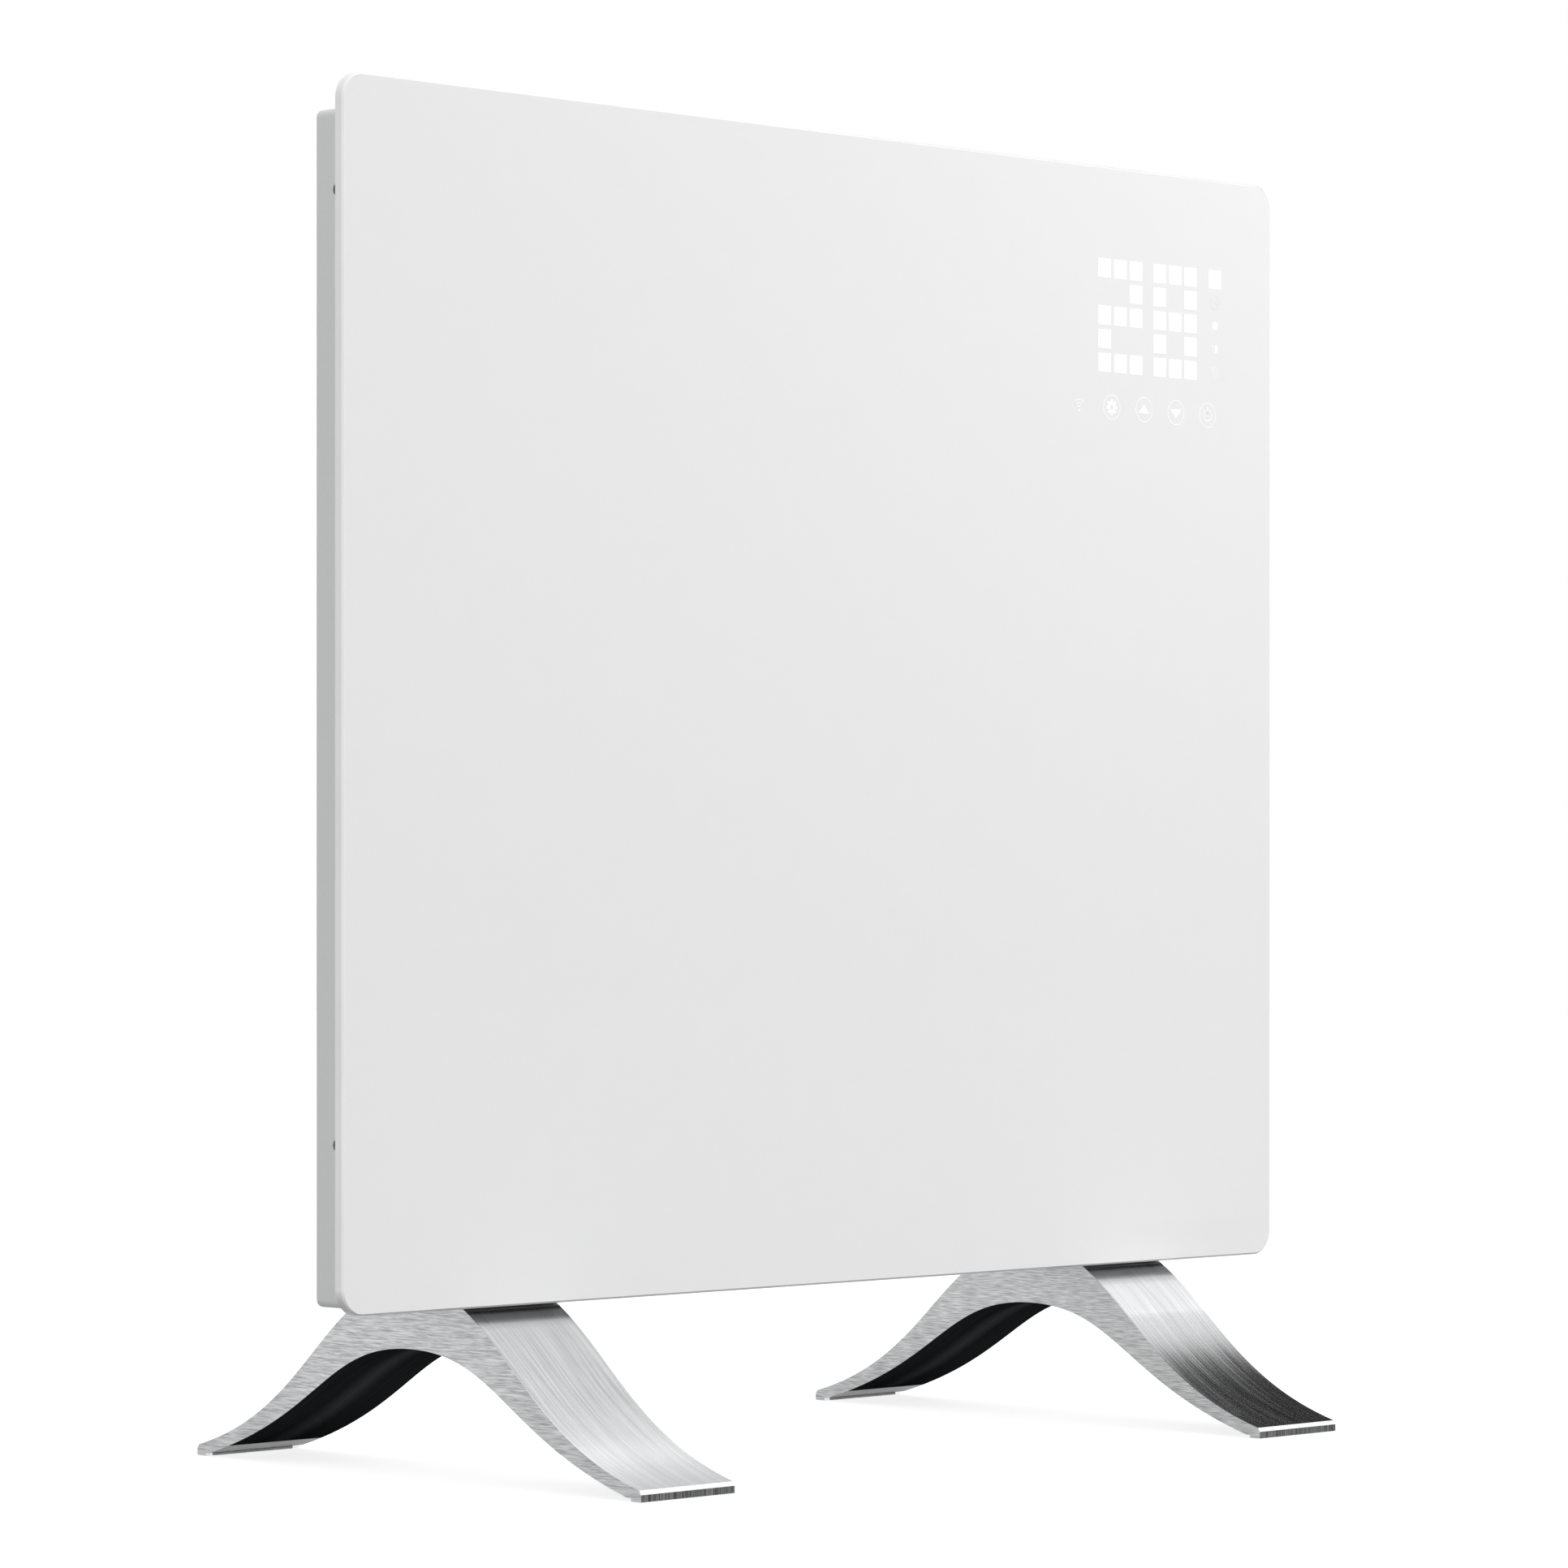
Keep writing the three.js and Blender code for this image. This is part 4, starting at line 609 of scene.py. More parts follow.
def circle(x, y, radius):
    """The four points of a round outline."""
    pull = ROUND_PULL * radius
    return [
        ((x + radius, y), (x + radius, y - pull), (x + radius, y + pull)),
        ((x, y + radius), (x + pull, y + radius), (x - pull, y + radius)),
        ((x - radius, y), (x - radius, y + pull), (x - radius, y - pull)),
        ((x, y - radius), (x - pull, y - radius), (x + pull, y - radius)),
    ]


def keep_piece(name, shell, materials, body="heater", stands_for=()):
    """Turns a finished shell into an object that rides on its body."""
    piece = solid_object(name, shell, materials)
    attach(piece, body)
    if stands_for:
        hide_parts(*stands_for)
    return piece


def sharp_edges(shell):
    return [e for e in shell.edges if e.is_manifold and e.calc_face_angle(0) > SHARP_ABOVE]


def bevel(shell, geometry, width, segments=2, affect="EDGES"):
    bmesh.ops.bevel(
        shell,
        geom=geometry,
        offset=width,
        offset_type="OFFSET",
        segments=segments,
        profile=0.5,
        affect=affect,
        clamp_overlap=True,
        material=-1,
    )


def cut_with(shell, tool):
    """Cuts a shell with another and returns the result; both are used up."""
    body, other = (solid_object("solid", made) for made in (shell, tool))
    boolean = body.modifiers.new("boolean", "BOOLEAN")
    boolean.operation = "DIFFERENCE"
    boolean.solver = "EXACT"
    boolean.object = other
    result = evaluated_shell(body)
    for used in (body, other):
        bpy.data.meshes.remove(used.data)
    return result


def rectangle(width, height):
    shell = bmesh.new()
    bmesh.ops.create_grid(shell, x_segments=1, y_segments=1, size=0.5)
    bmesh.ops.scale(shell, vec=(width, height, 1), verts=shell.verts)
    return shell


# ---------------------------------------------------------------- glass


STRAIGHT_DOWN = -0.99  # the normal's upward part on the lower edge
DOWN_ARRIS = -0.6  # and on its arrises


class HEATER_OT_glass(bpy.types.Operator):
    """Make the glass plate, printed white behind and ground flat along its edges"""

    bl_idname = "heater.glass"
    bl_label = "Glass plate"

    def execute(self, context):
        settings = context.scene.heater_glass
        size = glass_high - glass_low
        shell = rectangle(size.x, size.z)
        bevel(shell, shell.verts, settings.corner, 20, "VERTICES")
        grown = bmesh.ops.extrude_face_region(shell, geom=shell.faces[:])["geom"]
        raised = [v for v in grown if isinstance(v, bmesh.types.BMVert)]
        bmesh.ops.translate(shell, vec=(0, 0, size.y), verts=raised)
        bmesh.ops.recalc_face_normals(shell, faces=shell.faces)
        bevel(shell, sharp_edges(shell), settings.arris, 1)
        middle = (glass_low + glass_high) / 2
        shell.transform(Matrix.Translation((middle.x, glass_high.y, middle.z)) @ DRAWN_IN_XZ)
        shell.normal_update()
        for face in shell.faces:
            face.material_index = self.finish(face.normal)
        # Painted light: the arris is a lighter copy of the print (painted highlight), the lower
        # arris and the underside are darker copies (painted shade), and the side and the other
        # arrises darken near the lowest corners (painted shade).
        materials = [
            back_printed_glass("glass_print", settings.print_colour, settings.gloss),
            ground_glass("glass_side", settings.edge_colour, 0.22, glass_low.z, 0.25),
            ground_glass("glass_arris", tint(settings.print_colour, 1.08), 0.14, glass_low.z),
            ground_glass("glass_lower_arris", tint(settings.print_colour, 0.62), 0.14),
            ground_glass("glass_underside", tint(settings.edge_colour, 0.75), 0.22),
        ]
        plate = keep_piece("glass_plate", shell, materials, stands_for=["glass_panel"])
        soften(plate, 0.12 * MM)
        return {"FINISHED"}

    def finish(self, normal):
        """Which finish a face has: 0 print, 1 side, 2 arris, 3 lower arris, 4 underside."""
        if abs(normal.y) > FACING:
            return 0
        if abs(normal.y) < HARDLY:
            return 4 if normal.z < STRAIGHT_DOWN else 1
        return 3 if normal.z < DOWN_ARRIS else 2


# ---------------------------------------------------------------- feet


# How far the outline's handles reach, as depth and height, and what the foot screws need.
LEG_PULL = (29.5 * MM, -16.8 * MM)
TOE_PULL = (-52.7 * MM, 14.2 * MM)
SOLE_PULL = (-66.6 * MM, 19 * MM)
CROWN_PULL = 47.7 * MM
BEVEL_SLOPE = 0.6  # depth of the toe's bevel over its height
# Painted light on the broken edges: a highlight low down, a shade line higher up.
PAINTED_HIGHLIGHT_BELOW = 0.7  # height over the arch's, below which the broken edges are bright
# Painted shade: the sides are darker near the floor.
SIDE_PAINTED_SHADE = 0.87  # brightness of the sides near the floor
# Painted light on the legs: the right leg is a lighter copy of the left, the left leg lightens low
# down, and painted shade darkens both under the glass.
LEG_LIGHT = (("left", 0.77, 1.05, 0.75), ("right", 1.1, 1.1, 0.58))  # above, low, under the glass
FOOT_BORES = ((4.75 * MM, 30 * MM, 55.7 * MM), (2.85 * MM, 40 * MM, 80 * MM))  # radius, bottom, top


def foot_outline(settings):
    """The foot from the side, as [depth, height]: two curved legs over an arch."""
    height = foot_high.z
    half = foot_high.y
    shoulder = (settings.seat / 2, height)
    toe = (half - BEVEL_SLOPE * settings.toe_bevel, settings.toe)
    inner = (half - settings.sole, settings.recess)
    rear = [
        (shoulder, shoulder, shifted(shoulder, LEG_PULL)),
        (toe, shifted(toe, TOE_PULL), toe),
        corner(half, settings.toe - settings.toe_bevel),
        corner(half, 0),
        corner(half - settings.nub_length, 0),
        corner(half - settings.nub_length, settings.recess),
        (inner, inner, shifted(inner, SOLE_PULL)),
    ]
    crown = ((0, settings.arch), (CROWN_PULL, settings.arch), (-CROWN_PULL, settings.arch))
    front = [
        tuple((-y, z) for y, z in (place, after, before))
        for place, before, after in reversed(rear)
    ]
    return [*rear, crown, *front]


def shifted(point, step):
    return (point[0] + step[0], point[1] + step[1])


def pad_recesses(settings, low, high):
    """The room between the nubs: open at the back, and behind a lip at the front."""
    recesses = bmesh.new()
    past = settings.recess
    for y, depth in (
        (low.y + settings.lip, settings.nub_length - settings.lip + past),
        (high.y - settings.nub_length - past, settings.nub_length + 2 * past),
    ):
        made = bmesh.ops.create_cube(recesses, size=1)["verts"]
        size = (high.x - low.x - 2 * settings.nub_width, depth, 2 * settings.recess)
        bmesh.ops.scale(recesses, vec=size, verts=made)
        bmesh.ops.translate(recesses, vec=((low.x + high.x) / 2, y + depth / 2, 0), verts=made)
    return recesses


def foot_bores(side):
    """Stepped holes for the two foot screws."""
    bores = bmesh.new()
    for index in (1, 2):
        low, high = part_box(f"{side}_foot_screw_{index}")
        middle = (low + high) / 2
        for radius, bottom, top in FOOT_BORES:
            size = {"radius1": radius, "radius2": radius, "depth": top - bottom}
            made = bmesh.ops.create_cone(bores, cap_ends=True, segments=48, **size)["verts"]
            place = (middle.x, middle.y, (top + bottom) / 2)
            bmesh.ops.translate(bores, vec=place, verts=made)
    return bores


def foot_finish(face, half, settings):
    """Which finish a face has: 0 side, 1 leg, 2 arch, 3 toe end, 4 ground strip, 5 bright edge
    (painted highlight).
    """
    middle = face.calc_center_median()
    end = half - abs(middle.y)
    aside, ahead, up = abs(face.normal.x), abs(face.normal.y), face.normal.z
    if aside > FACING or (aside > LEANING and up < -HARDLY):
        return 0
    if aside > LEANING:  # a broken edge along a side
        # Low down a broken edge gets a painted highlight; higher up the dark toe-end finish paints
        # a shade line on it.
        if middle.z < PAINTED_HIGHLIGHT_BELOW * settings.arch:
            return 5
        return 3 if aside > HALFWAY else 1
    # The toe's real bevel gets the bright edge finish: painted highlight.
    if end < settings.toe_bevel and HARDLY < up < FACING:
        return 5
    if end < settings.lip and ahead > FACING:
        return 3
    if up < -HARDLY:
        return 4 if end < settings.ground else 2
    return 1


def is_rim(edge):
    """Whether an edge bounds one of the flat sides."""
    return any(abs(face.normal.x) > FACING for face in edge.link_faces)


class HEATER_OT_feet(bpy.types.Operator):
    """Make the two arched feet from their curved outline, brushed along the legs"""

    bl_idname = "heater.feet"
    bl_label = "Feet"

    def execute(self, context):
        settings = context.scene.heater_feet
        shade = settings.side_colour
        # Painted shade: the sides take a darker shade near the floor.
        shades = (shade, tint(shade, SIDE_PAINTED_SHADE))
        face = foot_metal("foot_side", *shades, settings.arch, (300, 130, 2200), 0.36, 0.3, 0.25)
        # The toe ends are a darker copy of the sides' metal (painted shade); the edge finish below
        # is a bright copy (painted highlight).
        end = brushed_metal("toe_end", tint(shade, 0.25), (1900, 200, 40), 0.7, 0.35)
        ground = brushed_metal("toe_ground", tint(shade, 0.32), (1400, 60, 60), 0.7, 0.4)
        edge = brushed_metal("foot_edge", (0.97, 0.975, 0.98), (300, 300, 300), 0.03, 0.3)
        for side, brightness, painted_light, under in LEG_LIGHT:
            low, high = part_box(f"{side}_foot")
            middle_x = (low.x + high.x) / 2
            placed = Matrix.Translation((middle_x, 0, 0)) @ DRAWN_IN_YZ
            shell = plate_from([foot_outline(settings)], high.x - low.x, placed, 32)
            bevel(shell, list(filter(is_rim, sharp_edges(shell))), settings.edge)
            shell = cut_with(shell, pad_recesses(settings, low, high))
            shell = cut_with(shell, foot_bores(side))
            for part in shell.faces:
                part.material_index = foot_finish(part, high.y, settings)
            shades = [tint(settings.leg_colour, factor) for factor in (brightness, painted_light)]
            leg = foot_metal(
                f"{side}_leg", *shades, settings.arch, (1500, 22, 30), 0.14, 0.17, 0.2, under
            )
            arch = painted_shade_underside(f"{side}_arch", settings.arch_colour, middle_x)
            foot = keep_piece(
                f"{side}_arched_foot",
                shell,
                [face, leg, arch, end, ground, edge],
                stands_for=[f"{side}_foot"],
            )
            soften(foot, 0)
        return {"FINISHED"}


class HEATER_OT_foot_fittings(bpy.types.Operator):
    """Finish the screws, nut plates and pads that go with the feet"""

    bl_idname = "heater.foot_fittings"
    bl_label = "Foot screws and pads"

    def execute(self, context):
        body = context.scene.heater_body
        zinc = plated_steel("zinc", body.zinc)
        rubber = soft_rubber("pad_rubber", (0.62, 0.62, 0.61))
        for side in SIDES:
            dress([f"{side}_foot_screw_1", f"{side}_foot_screw_2"], zinc, 0.2 * MM)
            dress([f"{side}_nut_plate"], zinc, 0.25 * MM)
            dress([f"{side}_front_pad", f"{side}_rear_pad"], rubber, 0.12 * MM)
        return {"FINISHED"}


# ---------------------------------------------------------------- body


class HEATER_OT_body(bpy.types.Operator):
    """Finish the folded body, its rear cover, the bond behind the glass and the side screws"""

    bl_idname = "heater.body"
    bl_label = "Body and rear cover"

    def execute(self, context):
        body = context.scene.heater_body
        coat = powder_coat("powder_coat", body.paint)
        dress(["chassis_tray", "rear_cover"], coat, 0.25 * MM)
        dress(["glass_bond"], foam_tape("foam", (0.28, 0.29, 0.30)), 0.2 * MM)
        screws = [f"{side}_{row}_screw" for side in SIDES for row in ("upper", "lower")]
        dress(screws, plated_steel("black_oxide", (0.09, 0.09, 0.095)), 0.1 * MM)
        return {"FINISHED"}


class HEATER_OT_grille(bpy.types.Operator):
    """Finish the outlet grille in the top"""

    bl_idname = "heater.grille"
    bl_label = "Outlet grille"

    def execute(self, context):
        body = context.scene.heater_body
        plastic = moulded_plastic("grille_plastic", body.moulded)
        dress(["outlet_grille"], plastic, 0.2 * MM)
        return {"FINISHED"}


class HEATER_OT_warm_side(bpy.types.Operator):
    """Finish the heating element and what surrounds it"""

    bl_idname = "heater.warm_side"
    bl_label = "Heating element"

    def execute(self, context):
        body = context.scene.heater_body
        cast = brushed_metal("extruded", (0.6, 0.61, 0.62), (30, 900, 900), 0.08, 0.42)
        foil = brushed_metal("reflector_foil", (0.75, 0.755, 0.76), (12, 60, 700), 0.05, 0.22)
        zinc = bpy.data.materials["zinc"]
        dress(["heating_element"], cast, 0.15 * MM)
        dress(["heat_reflector"], foil, 0.1 * MM)
        brackets = [f"{side}_element_bracket" for side in SIDES]
        dress(["heater_rod", *brackets], zinc, 0.2 * MM)
        dress(["partition_shield"], zinc, 0.1 * MM)
        bakelite = moulded_plastic("bakelite", body.moulded, 0.35)
        dress(["thermal_cutout"], bakelite, 0.2 * MM)
        leads = ["rod_to_cutout_lead", "cutout_to_board_lead", "rod_to_board_lead"]
        dress(leads, woven_sleeve("sleeve", (0.45, 0.12, 0.08)))
        return {"FINISHED"}


class HEATER_OT_electronics(bpy.types.Operator):
    """Finish the boards, the power case and what stands on them"""

    bl_idname = "heater.electronics"
    bl_label = "Electronics"

    def execute(self, context):
        body = context.scene.heater_body
        black = moulded_plastic("black_plastic", body.moulded)
        white = moulded_plastic("white_plastic", body.bright_plastic)
        board = solder_mask("solder_mask", (0.02, 0.12, 0.06))
        copper = wound_wire("copper", (0.62, 0.32, 0.15))
        zinc = bpy.data.materials["zinc"]
        extruded = bpy.data.materials["extruded"]
        dress(["light_mask", "terminal_block", "room_sensor"], white, 0.15 * MM)
        dress(["display_board", "power_board"], board, 0.1 * MM)
        dress(["display_carrier", "power_case", "power_relay"], black, 0.25 * MM)
        dress(["filter_capacitor"], black, 0.2 * MM)
        dress(["power_transformer"], copper, 0.2 * MM)
        dress(["triac_heat_sink"], extruded, 0.15 * MM)
        dress(["wifi_module"], zinc, 0.15 * MM)
        springs = [f"touch_spring_{key}" for key in ("settings", "up", "down", "power")]
        dress(springs, copper)
        dress(["display_ribbon"], moulded_plastic("ribbon", (0.35, 0.36, 0.37), 0.5))
        return {"FINISHED"}


ROCKER_TILT = 10  # degrees each way from level, and of each half of its face
ROCKER_CROWN = 2 * MM  # middle of its face, ahead of the pivot
ROCKER_MARK = 4.2 * MM  # from the middle of its face to a mark


class HEATER_OT_right_side(bpy.types.Operator):
    """Finish the mains switch and the cord gland on the right side, and mark the rocker"""

    bl_idname = "heater.right_side"
    bl_label = "Mains switch and gland"

    def execute(self, context):
        body = context.scene.heater_body
        black = frame_finish("black_plastic")
        shiny = moulded_plastic("switch_plastic", body.moulded, 0.22, 0.9 * MM)
        dress(["switch_housing", "cord_gland"], black, 0.3 * MM)
        dress(["switch_rocker"], shiny, 0.3 * MM)
        ring = arc_points(0, 0, 1.7 * MM, 0, 360, 32)
        self.mark("rocker_off_mark", ring, 1)
        self.mark("rocker_on_mark", [(0, -1.8 * MM), (0, 1.8 * MM)], -1)
        return {"FINISHED"}

    def mark(self, name, line, half):
        """Prints a line on the upper (1) or lower (-1) half of the rocker, where it rests."""
        joint = next(j for j in frame["joints"] if j["name"] == "rocker_tilt")
        tilt = math.radians(ROCKER_TILT)
        placed = (
            Matrix.Translation(joint["pos_m"])
            @ Matrix.Rotation(tilt, 4, "Y")
            @ Matrix.Translation((ROCKER_CROWN, 0, 0))
            @ Matrix.Rotation(half * tilt, 4, "Y")
            @ Matrix.Translation((0, 0, half * ROCKER_MARK))
            @ DRAWN_IN_YZ
        )
        shell = strokes_from([line], 0.5 * MM, placed)
        keep_piece(name, shell, [frame_finish("white_plastic")], "rocker")


class HEATER_OT_tilt_switch(bpy.types.Operator):
    """Finish the pendulum switch that cuts the power when the heater falls"""

    bl_idname = "heater.tilt_switch"
    bl_label = "Tilt switch"

    def execute(self, context):
        white = frame_finish("white_plastic")
        zinc = bpy.data.materials["zinc"]
        dress(["tilt_switch_case"], white, 0.2 * MM)
        dress(["tilt_pin", "tilt_pendulum"], zinc, 0.2 * MM)
        glass = ground_glass("reed_glass", (0.55, 0.6, 0.56), 0.1)
        dress(["reed_switch"], glass, 0.2 * MM)
        return {"FINISHED"}


# ---------------------------------------------------------------- display

DIGIT_ROWS = {
    0: "111 101 101 101 111",
    1: "010 110 010 010 111",
    2: "111 001 111 100 111",
    3: "111 001 111 001 111",
    4: "101 101 111 001 001",
    5: "111 100 111 001 111",
    6: "111 100 111 101 111",
    7: "111 001 001 001 001",
    8: "111 101 111 101 111",
    9: "111 101 111 001 111",
}
LIGHT_DEPTH = 0.05 * MM  # thickness of a light
KEYS = ("wireless", "settings", "up", "down", "power")


def square(x, y, side):
    half = side / 2
    return [corner(x + a * half, y + b * half) for a, b in ((-1, -1), (1, -1), (1, 1), (-1, 1))]


def triangle(x, y, width, height, way):
    low, high = y - way * height / 2, y + way * height / 2
    return [corner(x - width / 2, low), corner(x + width / 2, low), corner(x, high)]


def gear(x, y, radius, hole, teeth=8):
    """A toothed wheel with a round hole."""
    outline = []
    step = 2 * math.pi / teeth
    for index in range(teeth):
        middle = index * step
        for share_of_step, reach in ((-0.4, 0.68), (-0.26, 1.0), (0.26, 1.0), (0.4, 0.68)):
            angle = middle + share_of_step * step
            outline.append(
                corner(x + radius * reach * math.cos(angle), y + radius * reach * math.sin(angle))
            )
    return [outline, circle(x, y, hole)]


def arc_points(x, y, radius, start, end, steps=24):
    angles = [math.radians(start + (end - start) * i / steps) for i in range(steps + 1)]
    return [(x + radius * math.cos(a), y + radius * math.sin(a)) for a in angles]


def wavy_line(x, y, height, swing, steps=16):
    """An upright line with one full wave."""
    way = [step / steps for step in range(steps + 1)]
    return [(x + swing * math.sin(2 * math.pi * part), y + (part - 0.5) * height) for part in way]


def strokes_from(lines, width, placed):
    """Flat lines of this width along lists of points."""
    data = bpy.data.curves.new("strokes", "CURVE")
    data.dimensions = "3D"
    data.bevel_depth = width / 2
    data.bevel_resolution = 2
    data.use_fill_caps = True
    for points in lines:
        spline = data.splines.new("POLY")
        closed = (Vector(points[0]) - Vector(points[-1])).length < 1e-6
        spline.use_cyclic_u = closed
        points = points[:-1] if closed else points
        spline.points.add(len(points) - 1)
        for point, (x, y) in zip(spline.points, points):
            point.co = (x, y, 0, 1)
    flatten = Matrix.Diagonal((1, 1, LIGHT_DEPTH / width, 1))
    return shell_from(plain_object("strokes", data), placed @ flatten)


class HEATER_OT_display(bpy.types.Operator):
    """Make the lights that show through the glass: two digits, four signs and five keys"""

    bl_idname = "heater.display"
    bl_label = "Display lights"

    def execute(self, context):
        settings = context.scene.heater_display
        self.settings = settings
        self.light = lit_window("display_light", (1, 1, 1), settings.brightness)
        self.faint = lit_window("faint_light", (0.93, 0.93, 0.93), 0.0)
        self.placed = Matrix.Translation((0, glass_low.y - LIGHT_DEPTH / 4, 0)) @ DRAWN_IN_XZ
        keys = {key: self.behind(key) for key in KEYS[1:]}
        keys["wireless"] = 2 * keys["settings"] - keys["up"]
        signs_x = keys["power"].x + settings.signs_out
        rows_z = keys["power"].y + settings.digits_up
        self.add_digits(signs_x - settings.digits_in, rows_z)
        self.filled("degree_light", [square(signs_x, rows_z + 2 * settings.pitch, settings.cell)])
        self.add_signs(signs_x, rows_z)
        self.add_keys(keys)
        return {"FINISHED"}

    def behind(self, key):
        """Where a key's spring presses on the glass, in the front view."""
        low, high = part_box(f"touch_spring_{key}")
        return (low + high).xz / 2

    def filled(self, name, splines):
        shell = plate_from(splines, LIGHT_DEPTH, self.placed)
        keep_piece(name, shell, [self.light])

    def drawn(self, name, lines, width=None, light=None):
        shell = strokes_from(lines, width or self.settings.line, self.placed)
        keep_piece(name, shell, [light or self.light])

    def add_digits(self, middle_x, middle_z):
        pitch = self.settings.pitch
        digits = [self.settings.temperature // 10, self.settings.temperature % 10]
        for name, digit, way in zip(("tens_lights", "units_lights"), digits, (-0.5, 0.5)):
            left = middle_x + way * self.settings.digit_pitch - pitch
            cells = [
                square(left + column * pitch, middle_z + (2 - row) * pitch, self.settings.cell)
                for row, marks in enumerate(DIGIT_ROWS[digit].split())
                for column, mark in enumerate(marks)
                if mark == "1"
            ]
            self.filled(name, cells)

    def add_signs(self, x, middle_z):
        pitch = self.settings.pitch
        clock_z, full_z, half_z, heat_z = (middle_z + row * pitch for row in (1, 0, -1, -2))
        hand = [(x, clock_z + 1.7 * MM), (x, clock_z), (x + 1.3 * MM, clock_z - 0.7 * MM)]
        rings = [arc_points(x, clock_z, radius * MM, 0, 360, 48) for radius in (3.1, 2.3)]
        self.drawn("clock_sign", [*rings, hand], 0.25 * MM, self.faint)
        self.filled("full_power_sign", [circle(x, full_z, 1.8 * MM)])
        self.drawn("half_power_ring", [arc_points(x, half_z, 1.7 * MM, 0, 360)], 0.3 * MM)
        half = [corner(a, b) for a, b in arc_points(x, half_z, 1.8 * MM, -90, 90, 16)]
        self.filled("half_power_sign", [half])
        shifts = (-1.7 * MM, 0, 1.7 * MM)
        waves = [wavy_line(x + shift, heat_z, 4.4 * MM, 0.45 * MM) for shift in shifts]
        self.drawn("heat_sign", waves, 0.3 * MM)

    def add_keys(self, keys):
        z = keys["power"].y
        for key in KEYS[1:]:
            ring = arc_points(keys[key].x, z, self.settings.key_radius, 0, 360, 48)
            self.drawn(f"{key}_key_ring", [ring])
        x = keys["wireless"].x
        foot = z - 2.3 * MM
        waves = [arc_points(x, foot, radius * MM, 51, 129, 12) for radius in (1.7, 3.0, 4.45)]
        self.drawn("wireless_sign", waves)
        self.filled("wireless_dot", [circle(x, foot, 0.6 * MM)])
        self.filled("settings_sign", gear(keys["settings"].x, z, 3.4 * MM, 1.1 * MM))
        for key, way in (("up", 1), ("down", -1)):
            arrow = triangle(keys[key].x, z + way * 0.55 * MM, 7.1 * MM, 3.9 * MM, way)
            self.filled(f"{key}_sign", [arrow])
        x = keys["power"].x
        bar = [(x, z + 0.8 * MM), (x, z + 3.4 * MM)]
        self.drawn("power_sign", [arc_points(x, z, 2.5 * MM, 125, 415), bar], 0.75 * MM)


# ---------------------------------------------------------------- stage


KEY_LAMP = {"place": (0.45, -0.45, 0.85), "size": 0.4}
FILL_LAMP = {"place": (0, -3.3, 0.8), "size": 2.0}
LIT_POINT = Vector((0, 0, 0.3))
BLACK_CARD = {"size": (0.72, 1.5), "place": (0.984, 0.317, 0.8), "degrees": (90, 0, 116)}
WHITE_CARD = {"size": (0.09, 0.0171), "place": (0.217, -0.04625, 0.07685), "degrees": (38, 0, 0)}
FLOOR_SIZE = 12
FLOOR_DROP = 0.2 * MM  # keeps the floor clear of the toes
FLOOR_SHADE = (0.3, 0.3, 0.3)
FLOOR_GLOW = 0.82
CAMERA_PLACE = (-1.698, -1.694, 0.2293)
CAMERA_TURN = -45.12  # degrees
CAMERA_SHIFT = 0.0583  # share of the picture's width
SENSOR_WIDTH = 36  # millimetres


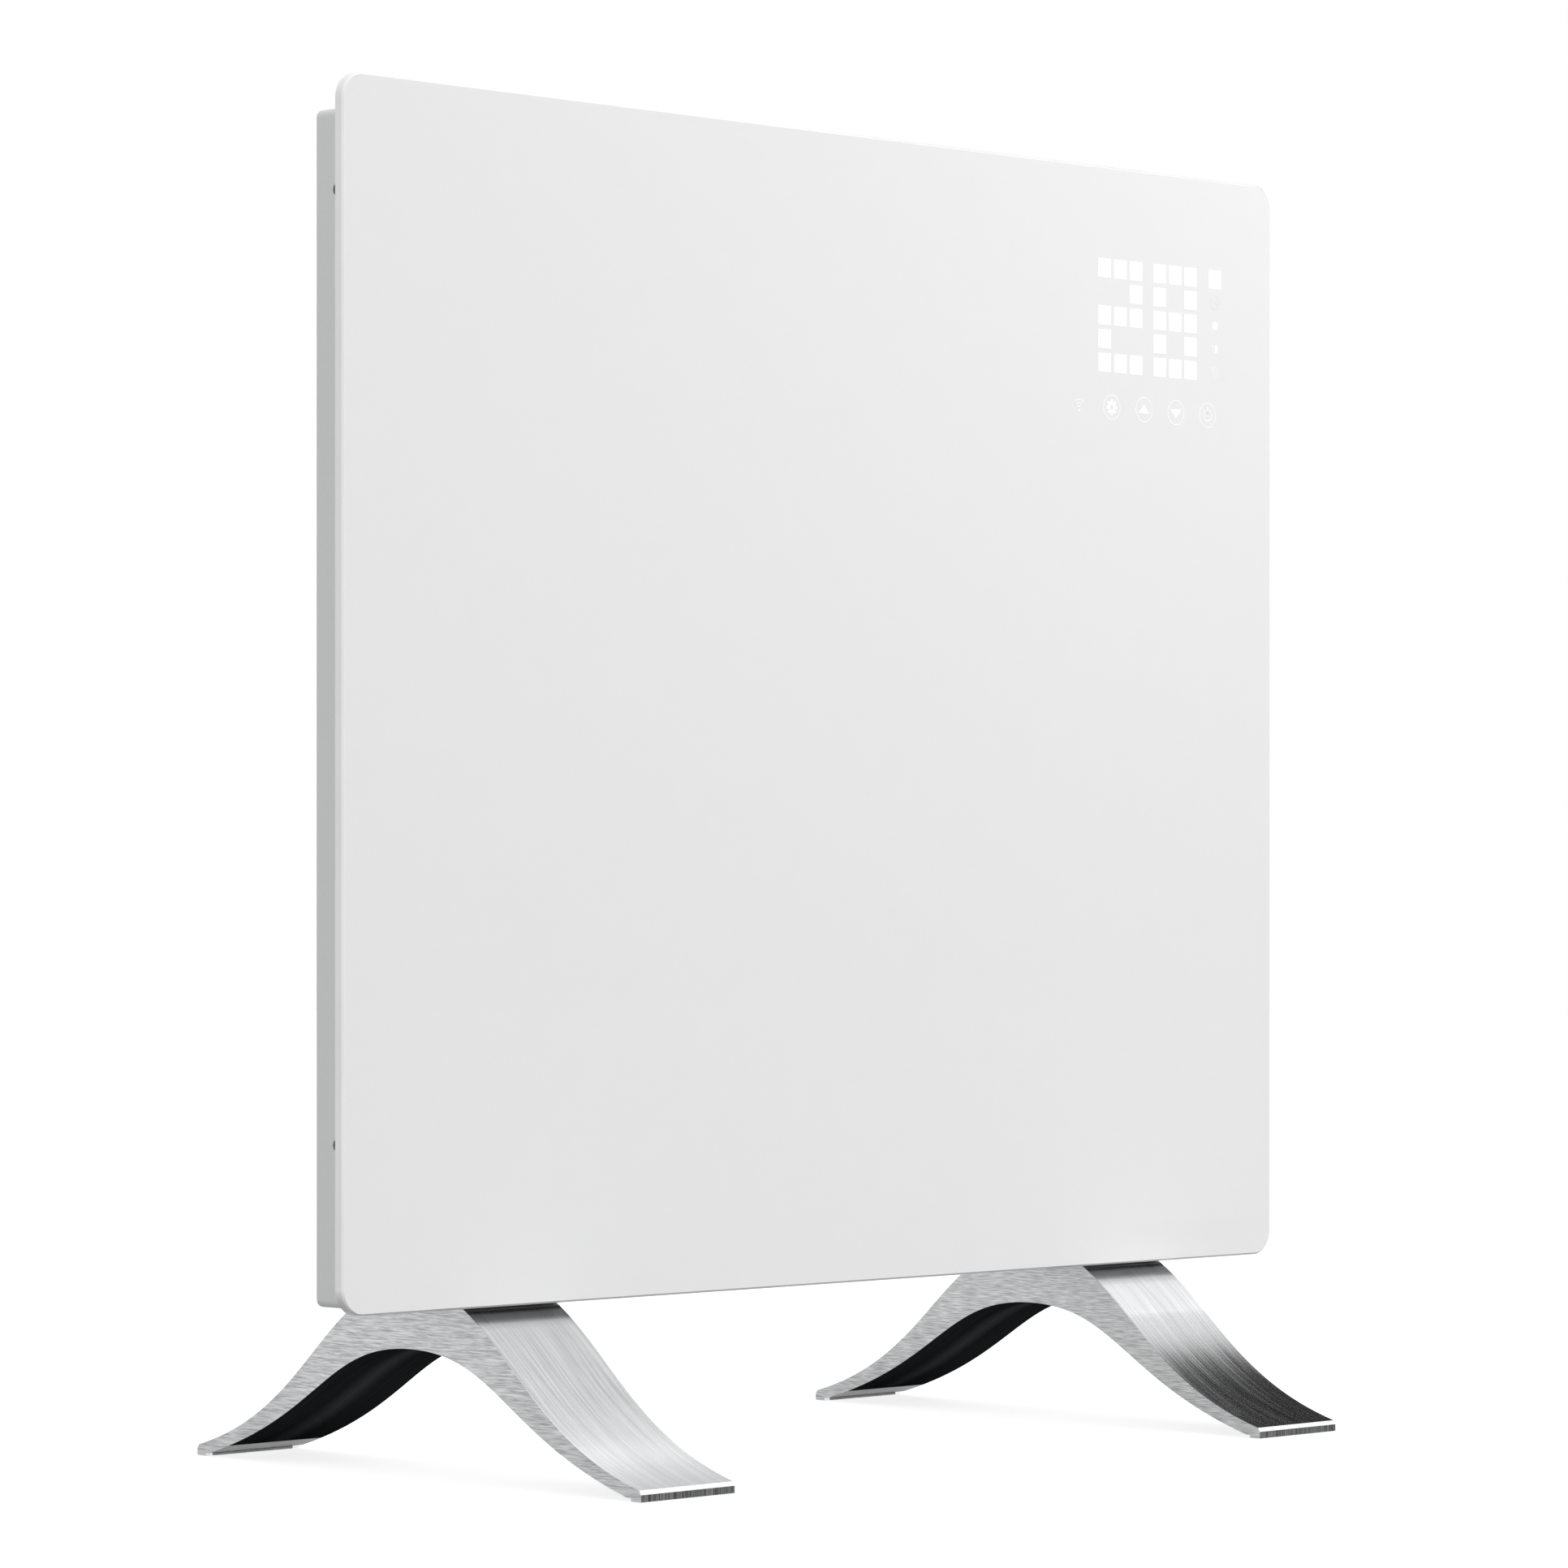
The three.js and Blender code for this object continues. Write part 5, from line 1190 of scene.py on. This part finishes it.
class HEATER_OT_stage(bpy.types.Operator):
    """Set the white floor, the soft lamps, the cards that metal reflects, and the camera"""

    bl_idname = "heater.stage"
    bl_label = "Stage"

    def execute(self, context):
        settings = context.scene.heater_stage
        context.scene.view_settings.view_transform = "Standard"
        self.add_floor()
        self.add_world(context.scene, settings.world)
        self.add_lamp("key_lamp", settings.key, **KEY_LAMP)
        self.add_lamp("fill_lamp", settings.fill, **FILL_LAMP)
        black = Paint("black_felt", base_color=(0.03, 0.03, 0.03), roughness=1.0, specular=0.0)
        self.add_card("black_card", black, **BLACK_CARD)
        white = Paint("white_card", base_color=(0, 0, 0), specular=0.0, emission_strength=0.97)
        white.set(emission_color=(1, 1, 1))
        self.add_card("white_card", white, **WHITE_CARD)
        self.add_camera(context.scene, settings)
        return {"FINISHED"}

    def add_floor(self):
        paper = Paint("paper", base_color=FLOOR_SHADE, roughness=0.9)
        plain = Wire(paper, paper.shader.outputs[0])
        glow = paper.node("ShaderNodeEmission", {}, {"Strength": FLOOR_GLOW})
        paper.show(paper.node("ShaderNodeAddShader", {}, {0: plain, 1: glow}), "Material Output")
        shell = bmesh.new()
        bmesh.ops.create_grid(shell, x_segments=2, y_segments=2, size=FLOOR_SIZE / 2)
        floor = solid_object("floor", shell, [paper.material], (0, 0, -FLOOR_DROP))

    def add_world(self, scene, strength):
        scene.world = bpy.data.worlds.new("studio")
        studio = Nodes(scene.world, "Background")
        for socket, value in (("Color", (1, 1, 1)), ("Strength", strength)):
            studio.plug(studio.shader.inputs[socket], value)
        white = studio.node("ShaderNodeBackground", {}, {"Color": (1, 1, 1), "Strength": 1})
        studio.show(white, "World Output")

    def add_lamp(self, name, power, place, size):
        data = bpy.data.lights.new(name, "AREA")
        data.shape = "SQUARE"
        data.size = size
        data.energy = power
        lamp = plain_object(name, data, place)
        lamp.rotation_euler = (LIT_POINT - Vector(place)).to_track_quat("-Z", "Y").to_euler()

    def add_card(self, name, paint, size, place, degrees):
        """A card that only polished faces see."""
        card = solid_object(name, rectangle(*size), [paint.material], place)
        card.rotation_euler = [math.radians(angle) for angle in degrees]
        card.visible_camera = card.visible_diffuse = card.visible_shadow = False

    def add_camera(self, scene, settings):
        data = bpy.data.cameras.new("camera")
        data.lens = settings.lens
        data.sensor_width = SENSOR_WIDTH
        data.shift_y = CAMERA_SHIFT
        camera = plain_object("camera", data, CAMERA_PLACE)
        camera.rotation_euler = (math.radians(90), 0, math.radians(CAMERA_TURN))
        scene.camera = camera


# ---------------------------------------------------------------- panel and order of work

PROPERTY_GROUPS = {
    "heater_glass": GlassSettings,
    "heater_feet": FeetSettings,
    "heater_display": DisplaySettings,
    "heater_body": BodySettings,
    "heater_stage": StageSettings,
}
STEPS = (
    HEATER_OT_stage,
    HEATER_OT_glass,
    HEATER_OT_feet,
    HEATER_OT_foot_fittings,
    HEATER_OT_body,
    HEATER_OT_grille,
    HEATER_OT_warm_side,
    HEATER_OT_electronics,
    HEATER_OT_right_side,
    HEATER_OT_tilt_switch,
    HEATER_OT_display,
)
CLASSES = (*PROPERTY_GROUPS.values(), *STEPS)


class HEATER_PT_panel(bpy.types.Panel):
    """Lists the heater's steps and settings"""

    bl_idname = "HEATER_PT_panel"
    bl_label = "Heater"
    bl_space_type = "VIEW_3D"
    bl_region_type = "UI"
    bl_category = "Heater"

    def draw(self, context):
        for step in STEPS:
            self.layout.operator(step.bl_idname)
        for name, group in PROPERTY_GROUPS.items():
            box = self.layout.box()
            for setting in group.__annotations__:
                box.prop(getattr(context.scene, name), setting)


def register():
    for made in (*CLASSES, HEATER_PT_panel):
        bpy.utils.register_class(made)
    for name, group in PROPERTY_GROUPS.items():
        setattr(bpy.types.Scene, name, PointerProperty(type=group))


def unregister():
    for name in PROPERTY_GROUPS:
        delattr(bpy.types.Scene, name)
    for made in reversed((*CLASSES, HEATER_PT_panel)):
        bpy.utils.unregister_class(made)


def main():
    register()
    for step in STEPS:
        group, name = step.bl_idname.split(".")
        getattr(getattr(bpy.ops, group), name)()


if __name__ == "__main__":
    main()
